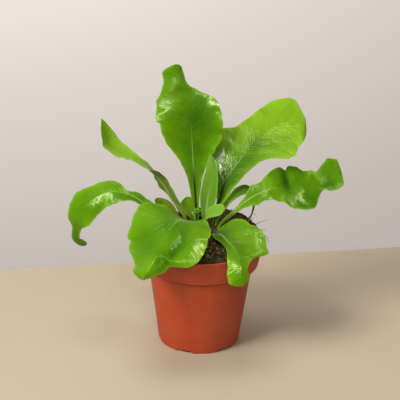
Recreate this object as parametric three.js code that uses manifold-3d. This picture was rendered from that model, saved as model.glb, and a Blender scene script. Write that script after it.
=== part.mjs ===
// A young bird's nest fern in a round nursery pot: pot, soil, crown, twelve strap fronds and a curled new one.
// Millimetres, +Z up, the pot's foot stands on z = 0 and its axis is the Z axis, the front faces -Y.

import * as THREE from "three";
import Module from "manifold-3d";

const wasm = await Module();
wasm.setup();

// Driving dimensions of the pot
const potTopRadius = 52.5;
const potHeight = 92;
const rimHeight = 21;
const rimLowRadius = 48.6;
const bodyTopRadius = 43.8;
const footRadius = 34;
const potWall = 1.2;
const floorTop = 3.2;
const floorUnderside = 2;
const centrePadRadius = 10;
const footRingWidth = 4.4;
const edgeRound = 0.6;
const drainCount = 6;
const drainAngle = 39;
const drainRadius = 4;
const drainFromAxis = 22;
const notchWidth = 13;
const notchHeight = 2.2;

// Gaps left between a piece and what it rests on
const clearance = 0.3;

// Soil: heights of its top at five radii, and how far the back right stands proud of the front left
const soilRadii = [0, 18, 36, 46];
const soilLevels = [99, 94, 89.2, 88.7, 87.7];
const soilProud = [0, 6.5, 15.8, 10.3, 7.3];
const proudDirection = 40;
const soilLumps = 0.5;

// Crown: the short rhizome that the fronds grow from
const crownCentre = [-0.5, 1];
const crownHalfLength = 21;
const crownHalfDepth = 17.5;
const crownEdgeTop = 97;
const crownDome = 6;
const crownWaist = 88;
const crownBottom = 80;
const crownBottomShare = 0.6;

// Stem holes in the crown and the soil
const holeRoom = 0.8;
const holeBelow = 0.3;
const holeSides = 10;

// Blade thickness, half of it on each face, and the rib that stands out below
const halfBlade = 0.45;
const ribHalfWidth = 1.1;
const ribDepth = 0.9;
const stemRise = 0.7;
const smallestTip = 0.06;

// Surface values read from the photograph
const looks = {
  pot: { color: 0xb04a2c, roughness: 0.55, metalness: 0 },
  soil: { color: 0x35261a, roughness: 1, metalness: 0 },
  crown: { color: 0x4a3320, roughness: 0.95, metalness: 0 },
  leaf: { color: 0x55a410, roughness: 0.4, metalness: 0 },
  youngLeaf: { color: 0x79b83a, roughness: 0.45, metalness: 0 },
  oldLeaf: { color: 0x6b6a12, roughness: 0.55, metalness: 0 },
};

// Fronds. A station is x, y, z, roll in degrees, left width, right width, left lift and right lift.
// Left and right are as seen looking out along the heading, which is in degrees from +X.
// A notch bites into one margin, -1 the left one and 1 the right one, and one of less than no depth is a lobe.
const fronds = [
  {
    name: "frond_tall",
    look: "leaf",
    heading: 93,
    segments: 26,
    waves: 1.8,
    ruffle: 3.2,
    phaseLeft: 0.27,
    phaseRight: 0.3,
    roundTip: 0.05,
    stations: [
      [-4, 7, 94, 0, 1.8, 1.8, 0, 0],
      [-4, 8, 108, 0, 1.8, 1.8, 0.6, 0.6],
      [-5, 11, 124, 0, 3.5, 3, 1.2, 1.2],
      [-7, 15, 140, 0, 5.8, 6.3, 1.8, 1.8],
      [-8, 19, 155, 0, 12.2, 14, 2.5, 2.5],
      [-9, 23, 170, 0, 22.4, 23.2, 1, 1.5],
      [-10, 27, 185, 0, 28.3, 25.8, -1, 1],
      [-12, 31, 200, 0, 27.6, 21.3, -1, 1],
      [-16, 35, 212, 0, 25, 4.2, -1, 0],
      [-22, 38, 222, 0, 13.3, 4.8, -2, -2],
      [-25, 40, 230, 0, 13.3, 5, -1, -1],
    ],
  },
  {
    name: "frond_right_high",
    look: "leaf",
    heading: 30,
    segments: 24,
    waves: 1.6,
    ruffle: 1.8,
    phaseLeft: 0.3,
    phaseRight: 0.8,
    roundTip: 0.2,
    notches: [
      { side: -1, at: 0.57, depth: -4.5, before: 0.03, after: 0.03 },
      { side: -1, at: 0.965, depth: -3.5, before: 0.03, after: 0.035 },
      { side: 1, at: 0.69, depth: -3, before: 0.04, after: 0.03 },
      { side: 1, at: 0.87, depth: 3.5, before: 0.04, after: 0.04 },
    ],
    stations: [
      [8, 6, 94, 0, 1.8, 1.8, 0, 0],
      [10, 6, 108, -10, 1.8, 1.8, 0.5, 0.5],
      [14, 8, 122, -25, 3, 4, 1, 1],
      [19, 13, 137, -30, 12, 10.5, 4, 1],
      [30, 21, 152, -30, 27, 12.5, 6, 0],
      [42, 28, 165, -30, 20.5, 18.5, 4, 0],
      [56, 36, 176, -30, 20.5, 32.5, 0, 0],
      [71, 42, 181, -30, 29.5, 30, -2, -2],
      [85, 46, 182, -30, 46, 31, -4, -4],
    ],
  },
  {
    name: "frond_right_low",
    look: "leaf",
    heading: 8,
    segments: 26,
    waves: 2.6,
    ruffle: 3,
    phaseLeft: 0,
    phaseRight: 0.4,
    roundTip: 0.018,
    notches: [
      { side: -1, at: 0.84, depth: 5, before: 0.025, after: 0.025 },
      { side: 1, at: 0.84, depth: 9, before: 0.03, after: 0.04 },
      { side: -1, at: 0.985, depth: -5, before: 0.022, after: 0.03 },
      { side: 1, at: 0.38, depth: -2.5, before: 0.03, after: 0.03 },
    ],
    stations: [
      [13, -3, 94, 0, 1.8, 1.8, 0, 0],
      [16, -2, 105, -10, 1.8, 1.8, 0.4, 0.4],
      [27, 1, 116, -20, 2.4, 2.6, 0.5, 0.5],
      [39, 4, 125.5, -30, 4, 6.5, 0.5, 0.5],
      [52, 8, 131, -35, 9.5, 8, 1, 0],
      [65, 11, 133, -35, 20.5, 12.5, 0, 0],
      [78, 13, 133, -35, 23.5, 20.5, 0, -2],
      [91, 15, 134, -35, 15, 21, 0, -2],
      [104, 17, 137, -35, 19, 9.5, 0, 0],
      [117.5, 19, 140.5, -35, 23, 10.5, -2, -1],
    ],
  },
  {
    name: "frond_arched",
    look: "leaf",
    heading: 18,
    segments: 20,
    waves: 1.5,
    ruffle: 0.8,
    phaseLeft: 0,
    phaseRight: 0.5,
    roundTip: 0.05,
    stations: [
      [11, 2, 94, 0, 1.6, 1.6, 0, 0],
      [13, 4, 105, -40, 1.6, 1.4, 0.4, 0.4],
      [17.5, 5, 115.5, -90, 4, 1.4, 1, 1],
      [25.2, 8, 125, -90, 5, 1.6, 1, 1],
      [35.5, 14, 130.2, -50, 4.8, 4, 0, 0],
      [44, 16, 126, -20, 6, 6, -1, -1],
      [44.5, 14, 118, -10, 4, 4, -1, -1],
      [42, 10, 110, 0, 1.6, 1.6, 0, 0],
      [39, 8, 103, 0, 1, 1, 0, 0],
    ],
  },
  {
    name: "frond_left_arching",
    look: "leaf",
    heading: 178,
    segments: 28,
    waves: 1.6,
    ruffle: 1.2,
    phaseLeft: 0.2,
    phaseRight: 0.6,
    roundTip: 0.05,
    notches: [
      { side: -1, at: 0.775, depth: 2.5, before: 0.02, after: 0.03 },
      { side: 1, at: 0.405, depth: 2.6, before: 0.03, after: 0.03 },
    ],
    stations: [
      [-11, -2, 94, 0, 1.8, 1.8, 0, 0],
      [-15, 0, 103, 0, 1.8, 1.8, 0.4, 0.4],
      [-30, 3, 112, 15, 3, 3, 0.6, 0.6],
      [-46, 5, 120, 30, 5, 5, 1, 1],
      [-60, 6, 126, 35, 6, 5.5, 1, 1],
      [-74, 6, 129, 38, 11, 11.5, -1, -1],
      [-87, 4, 125, 45, 13, 13.5, -3, -2],
      [-96, 2, 116, 52, 13, 16.5, -3, -2],
      [-102, 1, 106, 60, 12, 13, 0, 0],
      [-105, 3, 95.5, 60, 6.5, 6, 0, 0],
      [-105, 6, 84, 60, 4, 4, 0, 0],
      [-96, 8, 78.5, 60, 4, 3.5, 0, 0],
    ],
  },
  {
    name: "frond_front_left",
    look: "leaf",
    heading: 240,
    segments: 24,
    waves: 1.7,
    ruffle: 2.5,
    phaseLeft: 0.1,
    phaseRight: 0.5,
    roundTip: 0.08,
    notches: [
      { side: -1, at: 0.845, depth: 9, before: 0.025, after: 0.05 },
      { side: -1, at: 0.94, depth: 7, before: 0.04, after: 0.04 },
      { side: 1, at: 0.93, depth: 4.5, before: 0.04, after: 0.03 },
    ],
    stations: [
      [-5, -8, 93, 0, 1.8, 1.8, 0, 0],
      [-7, -10, 104, 0, 2.2, 2.2, 0.5, 0.5],
      [-12, -16, 113, 0, 14.5, 15.5, 5, 6],
      [-19, -26, 117, 0, 30, 34.5, 0, 4],
      [-25, -36, 114, 0, 34.5, 36, -5, -1],
      [-30, -47, 108, 0, 34, 35, -9, -4],
      [-36, -60, 100, 0, 23, 24, -8, -5],
      [-45, -73, 89, 0, 7, 19, -3, -4],
    ],
  },
  {
    name: "frond_front_right",
    look: "leaf",
    heading: 306,
    segments: 24,
    waves: 1.6,
    ruffle: 1.5,
    phaseLeft: 0.1,
    phaseRight: 0.5,
    roundTip: 0.07,
    notches: [
      { side: -1, at: 0.58, depth: -8.5, before: 0.045, after: 0.022 },
      { side: -1, at: 0.195, depth: -4, before: 0.04, after: 0.035 },
    ],
    stations: [
      [6, -9, 93, 0, 1.8, 1.8, 0, 0],
      [9, -12, 100, 0, 2.2, 1.8, 0.5, 0],
      [17, -19, 104, -12, 19.8, 5, 6, 0],
      [22, -28, 102, -20, 24.8, 6, 3, 0],
      [27, -38, 99, -20, 26.8, 7.4, 0, 0],
      [31, -48, 95, -20, 12.5, 9.8, -3, 0],
      [33, -55, 89, -22, 6, 12, -2, -1],
      [33, -58.5, 83, -22, 5.5, 12.2, -1, -1],
      [32, -60, 77.4, -22, 4, 11, 0, 0],
    ],
  },
  {
    name: "frond_thin_left",
    look: "leaf",
    heading: 150,
    segments: 24,
    waves: 2,
    ruffle: 0.8,
    phaseLeft: 0.1,
    phaseRight: 0.5,
    roundTip: 0.05,
    notches: [
      { side: -1, at: 0.45, depth: -3.5, before: 0.025, after: 0.025 },
      { side: 1, at: 0.45, depth: -3.5, before: 0.025, after: 0.025 },
    ],
    stations: [
      [-10, 4, 94, 0, 1.8, 1.8, 0, 0],
      [-12, 5, 103, -30, 1.8, 1.8, 0.3, 0.3],
      [-17.5, 7, 112, -68, 3, 3, 1, 1],
      [-25.5, 10, 123, -84, 5.6, 3.8, 1, 1],
      [-33, 13, 134.5, -80, 7.8, 7.4, 1, 1],
      [-43, 17, 145.5, -28, 9.2, 9, 1, 1],
      [-54, 21, 151, 0, 7, 6.5, 1, 1],
      [-66, 25, 156.5, 0, 12, 9, 2, 2],
      [-77, 28, 163, 0, 13, 9, 3, 3],
      [-82.5, 30, 173, 0, 8, 7, 2, 2],
      [-85.5, 31, 184, 0, 2, 2, 0, 0],
    ],
  },
  {
    name: "frond_young_upright",
    look: "youngLeaf",
    heading: 80,
    segments: 16,
    waves: 1,
    ruffle: 0.4,
    phaseLeft: 0.1,
    phaseRight: 0.5,
    roundTip: 0.12,
    stations: [
      [2.5, 3, 94, 0, 1.8, 1.8, 0, 0],
      [3, 4, 106, 0, 2.2, 2.2, 0.5, 0.5],
      [4, 6, 123, 0, 6, 7, 3, 3],
      [6, 8, 138, 0, 6.5, 7, 3.5, 3.5],
      [7, 10, 152, 0, 4.5, 5, 3, 3],
      [6, 11, 163, 0, 2, 2, 1, 1],
    ],
  },
  {
    name: "frond_small_back",
    look: "youngLeaf",
    heading: 120,
    segments: 10,
    waves: 1,
    ruffle: 0.4,
    phaseLeft: 0.1,
    phaseRight: 0.5,
    roundTip: 0.3,
    stations: [
      [-7, 12, 94, 0, 1.6, 1.6, 0, 0],
      [-8, 14, 104, 0, 2.2, 2.2, 0.5, 0.5],
      [-11, 16.5, 112, 0, 8.5, 6.5, 1, 1],
      [-13, 18, 121, 0, 8, 6, 1, 1],
    ],
  },
  {
    name: "frond_small_brown",
    look: "oldLeaf",
    heading: 160,
    segments: 10,
    waves: 1,
    ruffle: 0.4,
    phaseLeft: 0.1,
    phaseRight: 0.5,
    roundTip: 0.3,
    stations: [
      [-15, 6, 94, 0, 1.4, 1.4, 0, 0],
      [-18, 9, 102, 10, 2, 2, 0.3, 0.3],
      [-28, 15, 110.5, 20, 6.5, 6.5, 0.5, 0.5],
      [-39, 19, 118, 20, 6.5, 6.5, 0, 0],
    ],
  },
  {
    name: "frond_small_front",
    look: "youngLeaf",
    heading: 345,
    segments: 14,
    waves: 1.6,
    ruffle: 0.8,
    phaseLeft: 0.1,
    phaseRight: 0.2,
    roundTip: 0.15,
    stations: [
      [3, -3, 94, 0, 1.5, 1.5, 0, 0],
      [2, -4, 106, 0, 2, 2, 0.3, 0.3],
      [5, -5, 116, -20, 4, 7, 1, 0],
      [12, -7, 121, -30, 4, 8, 1, 0],
      [19, -9, 124, -30, 3, 6, 1, 0],
    ],
  },
];

// Crozier: the new frond, still curled
const crozierFoot = [-3.5, -2.5, 94];
const crozierNeck = [-5.3, -2.5, 112];
const curlCentre = [-3.3, 117];
const curlOuter = 2;
const curlInner = 1;
const curlAngle = 300;
const crozierStemRadius = 1;
const crozierTipRadius = 0.6;
const crozierSides = 8;
const curlSteps = 14;

const degree = Math.PI / 180;

function vector(x, y, z) {
  return new THREE.Vector3(x, y, z);
}

// A solid for cutting and joining, from a closed list of triangles
function solidFromGeometry(geometry) {
  const position = geometry.getAttribute("position");
  const vertices = [];
  const triangles = [];
  const found = new Map();
  const count = geometry.index ? geometry.index.count : position.count;
  for (let corner = 0; corner < count; corner += 1) {
    const source = geometry.index ? geometry.index.getX(corner) : corner;
    const place = [position.getX(source), position.getY(source), position.getZ(source)];
    const key = place.map((value) => Math.round(value * 1e5)).join(",");
    if (!found.has(key)) {
      found.set(key, vertices.length / 3);
      vertices.push(...place);
    }
    triangles.push(found.get(key));
  }
  const kept = [];
  for (let start = 0; start < triangles.length; start += 3) {
    const [a, b, c] = triangles.slice(start, start + 3);
    if (a !== b && b !== c && a !== c) {
      kept.push(a, b, c);
    }
  }
  return new wasm.Manifold(new wasm.Mesh({
    numProp: 3,
    vertProperties: new Float32Array(vertices),
    triVerts: new Uint32Array(kept),
  }));
}

function geometryFromSolid(solid) {
  const mesh = solid.getMesh();
  const geometry = new THREE.BufferGeometry();
  geometry.setAttribute("position", new THREE.BufferAttribute(new Float32Array(mesh.vertProperties), 3));
  geometry.setIndex(new THREE.BufferAttribute(new Uint32Array(mesh.triVerts), 1));
  return geometry;
}

function geometryFromLists(vertices, triangles) {
  const geometry = new THREE.BufferGeometry();
  geometry.setAttribute("position", new THREE.BufferAttribute(new Float32Array(vertices), 3));
  geometry.setIndex(triangles);
  return geometry;
}

// A profile of radius and height turned about the Z axis, from the axis at the foot round to the axis again
function turned(profile, sides) {
  const vertices = [];
  const triangles = [];
  const rows = profile.map(([radius, height]) => {
    const first = vertices.length / 3;
    if (radius === 0) {
      vertices.push(0, 0, height);
      return () => first;
    }
    for (let side = 0; side < sides; side += 1) {
      const angle = (side / sides) * 2 * Math.PI;
      vertices.push(radius * Math.cos(angle), radius * Math.sin(angle), height);
    }
    return (side) => first + (side % sides);
  });
  for (let row = 0; row < rows.length - 1; row += 1) {
    for (let side = 0; side < sides; side += 1) {
      const a = rows[row](side);
      const b = rows[row](side + 1);
      const c = rows[row + 1](side + 1);
      const d = rows[row + 1](side);
      if (a !== b) {
        triangles.push(a, b, c);
      }
      if (c !== d) {
        triangles.push(a, c, d);
      }
    }
  }
  return geometryFromLists(vertices, triangles);
}

// A round peg between two points, for cutting holes
function peg(from, to, radius, sides) {
  const axis = to.clone().sub(from);
  const geometry = new THREE.CylinderGeometry(radius, radius, axis.length(), sides);
  geometry.applyQuaternion(new THREE.Quaternion().setFromUnitVectors(vector(0, 1, 0), axis.clone().normalize()));
  geometry.translate((from.x + to.x) / 2, (from.y + to.y) / 2, (from.z + to.z) / 2);
  return solidFromGeometry(geometry);
}

// Pot: a thin wall turned about the axis, with a tall overhanging rim and six drain notches in the foot
function makePot() {
  const rimFoot = potHeight - rimHeight;
  const rimSlope = (potTopRadius - rimLowRadius) / rimHeight;
  const ringInner = footRadius - footRingWidth;
  const profile = [
    [0, 0],
    [centrePadRadius, 0],
    [centrePadRadius + edgeRound, floorUnderside],
    [ringInner - edgeRound, floorUnderside],
    [ringInner, 0],
    [footRadius - edgeRound, 0],
    [footRadius, edgeRound],
    [bodyTopRadius, rimFoot],
    [rimLowRadius - edgeRound / 2, rimFoot],
    [rimLowRadius, rimFoot + edgeRound],
    [potTopRadius - rimSlope * edgeRound, potHeight - edgeRound],
    [potTopRadius - edgeRound / 2, potHeight],
    [potTopRadius - potWall + edgeRound / 4, potHeight],
    [potTopRadius - potWall - rimSlope * edgeRound, potHeight - edgeRound],
    [rimLowRadius - potWall + rimSlope * potWall, rimFoot + potWall],
    [bodyTopRadius - potWall + edgeRound / 4, rimFoot + potWall],
    [bodyTopRadius - potWall, rimFoot],
    [footRadius - potWall, floorTop],
    [0, floorTop],
  ];
  let pot = solidFromGeometry(turned(profile, 60));
  for (let index = 0; index < drainCount; index += 1) {
    const angle = (drainAngle - 90 + (index * 360) / drainCount) * degree;
    const notch = new THREE.BoxGeometry(3 * footRingWidth, notchWidth, 2 * notchHeight);
    notch.rotateZ(angle);
    notch.translate(footRadius * Math.cos(angle), footRadius * Math.sin(angle), 0);
    pot = pot.subtract(solidFromGeometry(notch));
    const centre = vector(drainFromAxis * Math.cos(angle), drainFromAxis * Math.sin(angle), 0);
    const top = centre.clone().setZ(2 * floorTop);
    pot = pot.subtract(peg(centre.setZ(-1), top, drainRadius, 16));
  }
  return pot;
}

// Height of the soil's top, without its lumps
function soilHeight(radius, angle) {
  const proud = 0.5 + 0.5 * Math.cos(angle - proudDirection * degree);
  const edge = potTopRadius - potWall - clearance;
  const radii = [...soilRadii, edge];
  const heights = radii.map((value, index) => soilLevels[index] + soilProud[index] * proud);
  let band = 0;
  while (band < radii.length - 2 && radius > radii[band + 1]) {
    band += 1;
  }
  const share = Math.min(1, (radius - radii[band]) / (radii[band + 1] - radii[band]));
  const eased = share * share * (3 - 2 * share);
  return heights[band] + (heights[band + 1] - heights[band]) * (0.5 * share + 0.5 * eased);
}

function soilTop(radius, angle) {
  const x = radius * Math.cos(angle);
  const y = radius * Math.sin(angle);
  const lumps = Math.sin(x * 0.41 + 1.3) * Math.sin(y * 0.37 + 0.4) + Math.sin(x * 0.19 - y * 0.23);
  return soilHeight(radius, angle) + soilLumps * lumps;
}

// Soil: fills the pot with a small gap all round and stands in a mound above the rim
function soilBody() {
  const sides = 40;
  const rimFoot = potHeight - rimHeight;
  const rimSlope = (potTopRadius - rimLowRadius) / rimHeight;
  const topRadius = potTopRadius - potWall - clearance - rimSlope * (potHeight - soilLevels[4] + 1.5);
  const wall = [
    [footRadius - potWall - clearance, floorTop + clearance],
    [bodyTopRadius - potWall - clearance, rimFoot + potWall / 2],
    [bodyTopRadius - potWall - clearance, rimFoot + potWall + clearance],
    [rimLowRadius - potWall - clearance, rimFoot + potWall + clearance],
    [topRadius, soilLevels[4] - 1.5],
  ];
  const rings = [49.2, 46, 41, 36, 30, 24, 18, 12, 6];
  const vertices = [0, 0, floorTop + clearance];
  const triangles = [];
  wall.forEach(([radius, height]) => {
    for (let side = 0; side < sides; side += 1) {
      const angle = (side / sides) * 2 * Math.PI;
      vertices.push(radius * Math.cos(angle), radius * Math.sin(angle), height);
    }
  });
  rings.forEach((radius) => {
    for (let side = 0; side < sides; side += 1) {
      const angle = (side / sides) * 2 * Math.PI;
      vertices.push(radius * Math.cos(angle), radius * Math.sin(angle), soilTop(radius, angle));
    }
  });
  const middle = vertices.length / 3;
  vertices.push(0, 0, soilTop(0, 0));
  const rowCount = wall.length + rings.length;
  const at = (row, side) => 1 + row * sides + (side % sides);
  for (let side = 0; side < sides; side += 1) {
    triangles.push(0, at(0, side + 1), at(0, side));
    for (let row = 0; row < rowCount - 1; row += 1) {
      triangles.push(at(row, side), at(row, side + 1), at(row + 1, side + 1));
      triangles.push(at(row, side), at(row + 1, side + 1), at(row + 1, side));
    }
    triangles.push(at(rowCount - 1, side), at(rowCount - 1, side + 1), middle);
  }
  return solidFromGeometry(geometryFromLists(vertices, triangles));
}

// Crown: an oval stump with a domed top, grown outwards by a margin where it cuts its bed in the soil
function crownBody(margin, openTop) {
  const sides = 28;
  const rows = [
    [crownBottomShare, crownBottom - margin],
    [1, crownWaist],
    [1, crownEdgeTop],
  ];
  if (openTop) {
    rows.push([1, potHeight + 40]);
  } else {
    [0.85, 0.65, 0.4, 0.2].forEach((share) => {
      rows.push([share, crownEdgeTop + crownDome * (1 - share * share)]);
    });
  }
  const lastHeight = openTop ? potHeight + 40 : crownEdgeTop + crownDome;
  const vertices = [crownCentre[0], crownCentre[1], crownBottom - margin];
  const triangles = [];
  rows.forEach(([share, height]) => {
    for (let side = 0; side < sides; side += 1) {
      const angle = (side / sides) * 2 * Math.PI;
      const uneven = 1 + 0.04 * Math.sin(3 * angle + 0.6) + 0.03 * Math.sin(5 * angle);
      const across = (crownHalfLength * share * uneven + margin) * Math.cos(angle);
      const along = (crownHalfDepth * share * uneven + margin) * Math.sin(angle);
      vertices.push(crownCentre[0] + across, crownCentre[1] + along, height);
    }
  });
  const middle = vertices.length / 3;
  vertices.push(crownCentre[0], crownCentre[1], lastHeight);
  const at = (row, side) => 1 + row * sides + (side % sides);
  for (let side = 0; side < sides; side += 1) {
    triangles.push(0, at(0, side + 1), at(0, side));
    for (let row = 0; row < rows.length - 1; row += 1) {
      triangles.push(at(row, side), at(row, side + 1), at(row + 1, side + 1));
      triangles.push(at(row, side), at(row + 1, side + 1), at(row + 1, side));
    }
    triangles.push(at(rows.length - 1, side), at(rows.length - 1, side + 1), middle);
  }
  return solidFromGeometry(geometryFromLists(vertices, triangles));
}

// The smooth line through a frond's stations, at a share of the way along, with its direction
function stationAt(stations, share) {
  const last = stations.length - 1;
  const along = Math.min(Math.max(share, 0), 1) * last;
  const index = Math.min(Math.floor(along), last - 1);
  const f = along - index;
  const value = [];
  const slope = [];
  for (let column = 0; column < stations[0].length; column += 1) {
    const p1 = stations[index][column];
    const p2 = stations[index + 1][column];
    const p0 = index > 0 ? stations[index - 1][column] : 2 * p1 - p2;
    const p3 = index < last - 1 ? stations[index + 2][column] : 2 * p2 - p1;
    const square = 2 * p0 - 5 * p1 + 4 * p2 - p3;
    const cube = 3 * p1 - p0 - 3 * p2 + p3;
    value.push(0.5 * (2 * p1 + (p2 - p0) * f + square * f * f + cube * f * f * f));
    slope.push(0.5 * (p2 - p0 + 2 * square * f + 3 * cube * f * f));
  }
  return { value, direction: vector(slope[0], slope[1], slope[2]).normalize() };
}

// Everything about a frond's cross-section at one place
function sectionAt(frond, share) {
  const { value, direction } = stationAt(frond.stations, share);
  const heading = frond.heading * degree;
  const level = vector(Math.sin(heading), -Math.cos(heading), 0);
  const across = level.addScaledVector(direction, -level.dot(direction)).normalize();
  const upward = across.clone().cross(direction);
  const roll = value[3] * degree;
  const end = Math.min(Math.max((share - (1 - frond.roundTip)) / frond.roundTip, 0), 1);
  const closing = Math.max(Math.sqrt(1 - end * end), smallestTip);
  const widths = [Math.max(value[4], 0.8) * closing, Math.max(value[5], 0.8) * closing];
  (frond.notches || []).forEach((notch) => {
    const distance = (share - notch.at) / (share < notch.at ? notch.before : notch.after);
    const bite = notch.depth * Math.exp(-distance * distance);
    const side = notch.side < 0 ? 0 : 1;
    widths[side] = Math.max(widths[side] - bite, 0.8);
  });
  return {
    centre: vector(value[0], value[1], value[2]),
    across: across.clone().multiplyScalar(Math.cos(roll)).addScaledVector(upward, Math.sin(roll)),
    upward: upward.clone().multiplyScalar(Math.cos(roll)).addScaledVector(across, -Math.sin(roll)),
    widths,
    lifts: [value[6], value[7]],
    share,
  };
}

// A point of the blade's middle sheet, raised by an offset along the section's upward direction
function sheetPoint(frond, section, across, offset) {
  const side = across < 0 ? 0 : 1;
  const width = section.widths[side];
  const reach = Math.abs(across);
  const widest = Math.max(...frond.stations.map((row) => Math.max(row[4], row[5])));
  const phase = side === 0 ? frond.phaseLeft : frond.phaseRight;
  const swing = Math.sin(2 * Math.PI * (frond.waves * section.share + phase));
  const wave = frond.ruffle * Math.min(width / widest, 1) * reach * reach * swing;
  const rise = section.lifts[side] * reach ** 1.6 + wave + offset;
  return section.centre.clone()
    .addScaledVector(section.across, across * width)
    .addScaledVector(section.upward, rise);
}

// Frond: a thin closed blade with a rib below its middle, running down into a stout stem
function makeFrond(frond) {
  const columns = 7;
  const vertices = [];
  const triangles = [];
  for (let step = 0; step <= frond.segments; step += 1) {
    const share = 1 - (1 - step / frond.segments) ** 1.15;
    const section = sectionAt(frond, share);
    const narrow = Math.min(...section.widths);
    const stem = Math.min(Math.max((4 - narrow) / 2.2, 0), 1) * Math.max(1 - 1.6 * share, 0);
    const depth = ribDepth * (1 - 0.7 * share) * Math.min(1, narrow / 1.5);
    const places = section.widths.map((width) => Math.min(ribHalfWidth / width, 0.5));
    const across = [-1, -0.55 - 0.2 * places[0], -places[0], 0, places[1], 0.55 + 0.2 * places[1], 1];
    const tops = [0, 0, 0.5 * stem, stem, 0.5 * stem, 0, 0];
    const unders = [0, 0, 0.35, 1, 0.35, 0, 0];
    for (let column = 0; column < columns; column += 1) {
      const point = sheetPoint(frond, section, across[column], halfBlade + stemRise * tops[column]);
      vertices.push(point.x, point.y, point.z);
    }
    for (let column = 0; column < columns; column += 1) {
      const point = sheetPoint(frond, section, across[column], -halfBlade - depth * unders[column]);
      vertices.push(point.x, point.y, point.z);
    }
  }
  const top = (step, column) => step * 2 * columns + column;
  const under = (step, column) => step * 2 * columns + columns + column;
  for (let step = 0; step < frond.segments; step += 1) {
    for (let column = 0; column < columns - 1; column += 1) {
      triangles.push(top(step, column), top(step, column + 1), top(step + 1, column + 1));
      triangles.push(top(step, column), top(step + 1, column + 1), top(step + 1, column));
      triangles.push(under(step, column), under(step + 1, column + 1), under(step, column + 1));
      triangles.push(under(step, column), under(step + 1, column), under(step + 1, column + 1));
    }
    triangles.push(top(step, 0), top(step + 1, 0), under(step + 1, 0));
    triangles.push(top(step, 0), under(step + 1, 0), under(step, 0));
    const edge = columns - 1;
    triangles.push(top(step, edge), under(step + 1, edge), top(step + 1, edge));
    triangles.push(top(step, edge), under(step, edge), under(step + 1, edge));
  }
  const tip = frond.segments;
  for (let column = 0; column < columns - 1; column += 1) {
    triangles.push(top(0, column), under(0, column + 1), top(0, column + 1));
    triangles.push(top(0, column), under(0, column), under(0, column + 1));
    triangles.push(top(tip, column), top(tip, column + 1), under(tip, column + 1));
    triangles.push(top(tip, column), under(tip, column + 1), under(tip, column));
  }
  return geometryFromLists(vertices, triangles);
}

// Crozier: a round stem whose end curls in on itself
function makeCrozier() {
  const path = [];
  const foot = vector(...crozierFoot);
  const neck = vector(...crozierNeck);
  [0, 0.33, 0.66, 1].forEach((share) => path.push(foot.clone().lerp(neck, share)));
  for (let step = 1; step <= curlSteps; step += 1) {
    const share = step / curlSteps;
    const angle = (180 - share * curlAngle) * degree;
    const radius = curlOuter + (curlInner - curlOuter) * share;
    const x = curlCentre[0] + radius * Math.cos(angle);
    path.push(vector(x, crozierFoot[1], curlCentre[1] + radius * Math.sin(angle)));
  }
  const vertices = [];
  const triangles = [];
  const last = path.length - 1;
  path.forEach((point, index) => {
    const direction = path[Math.min(index + 1, last)].clone().sub(path[Math.max(index - 1, 0)]).normalize();
    const sideways = vector(0, 1, 0);
    const outward = direction.clone().cross(sideways).normalize();
    const share = Math.max(0, (index - 3) / (last - 3));
    const radius = crozierStemRadius + (crozierTipRadius - crozierStemRadius) * share;
    for (let side = 0; side < crozierSides; side += 1) {
      const angle = (side / crozierSides) * 2 * Math.PI;
      const corner = point.clone()
        .addScaledVector(outward, radius * Math.cos(angle))
        .addScaledVector(sideways, radius * Math.sin(angle));
      vertices.push(corner.x, corner.y, corner.z);
    }
  });
  const first = vertices.length / 3;
  vertices.push(path[0].x, path[0].y, path[0].z, path[last].x, path[last].y, path[last].z);
  const at = (row, side) => row * crozierSides + (side % crozierSides);
  for (let side = 0; side < crozierSides; side += 1) {
    for (let row = 0; row < last; row += 1) {
      triangles.push(at(row, side), at(row + 1, side), at(row + 1, side + 1));
      triangles.push(at(row, side), at(row + 1, side + 1), at(row, side + 1));
    }
    triangles.push(first, at(0, side), at(0, side + 1));
    triangles.push(first + 1, at(last, side + 1), at(last, side));
  }
  return geometryFromLists(vertices, triangles);
}

// The hole that a stem stands in, along its first stretch
function stemHole(from, to, stemRadius) {
  const axis = to.clone().sub(from).normalize();
  const start = from.clone().addScaledVector(axis, -holeBelow);
  return peg(start, to.clone().addScaledVector(axis, 3), stemRadius + holeRoom, holeSides);
}

const group = new THREE.Group();
group.name = "potted_fern";

function addPiece(name, geometry, look) {
  geometry.computeVertexNormals();
  const mesh = new THREE.Mesh(geometry, new THREE.MeshStandardMaterial({ name: look, ...looks[look] }));
  mesh.name = name;
  group.add(mesh);
}

const holes = fronds.map((frond) => {
  const [foot, second] = frond.stations;
  return stemHole(vector(...foot), vector(...second), foot[4]);
});
holes.push(stemHole(vector(...crozierFoot), vector(...crozierNeck), crozierStemRadius));

let soil = soilBody().subtract(crownBody(clearance, true));
let crown = crownBody(0, false);
holes.forEach((hole) => {
  soil = soil.subtract(hole);
  crown = crown.subtract(hole);
});

addPiece("pot", geometryFromSolid(makePot()), "pot");
addPiece("soil", geometryFromSolid(soil), "soil");
addPiece("crown", geometryFromSolid(crown), "crown");
fronds.forEach((frond) => addPiece(frond.name, makeFrond(frond), frond.look));
addPiece("crozier", makeCrozier(), "youngLeaf");

export default group;
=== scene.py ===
# A young bird's nest fern in a round nursery pot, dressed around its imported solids.
# Metres, +Z up, the pot stands on z = 0, the front faces -Y.
import math
import bpy
import numpy as np
from mathutils import Matrix, Vector, noise


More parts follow.
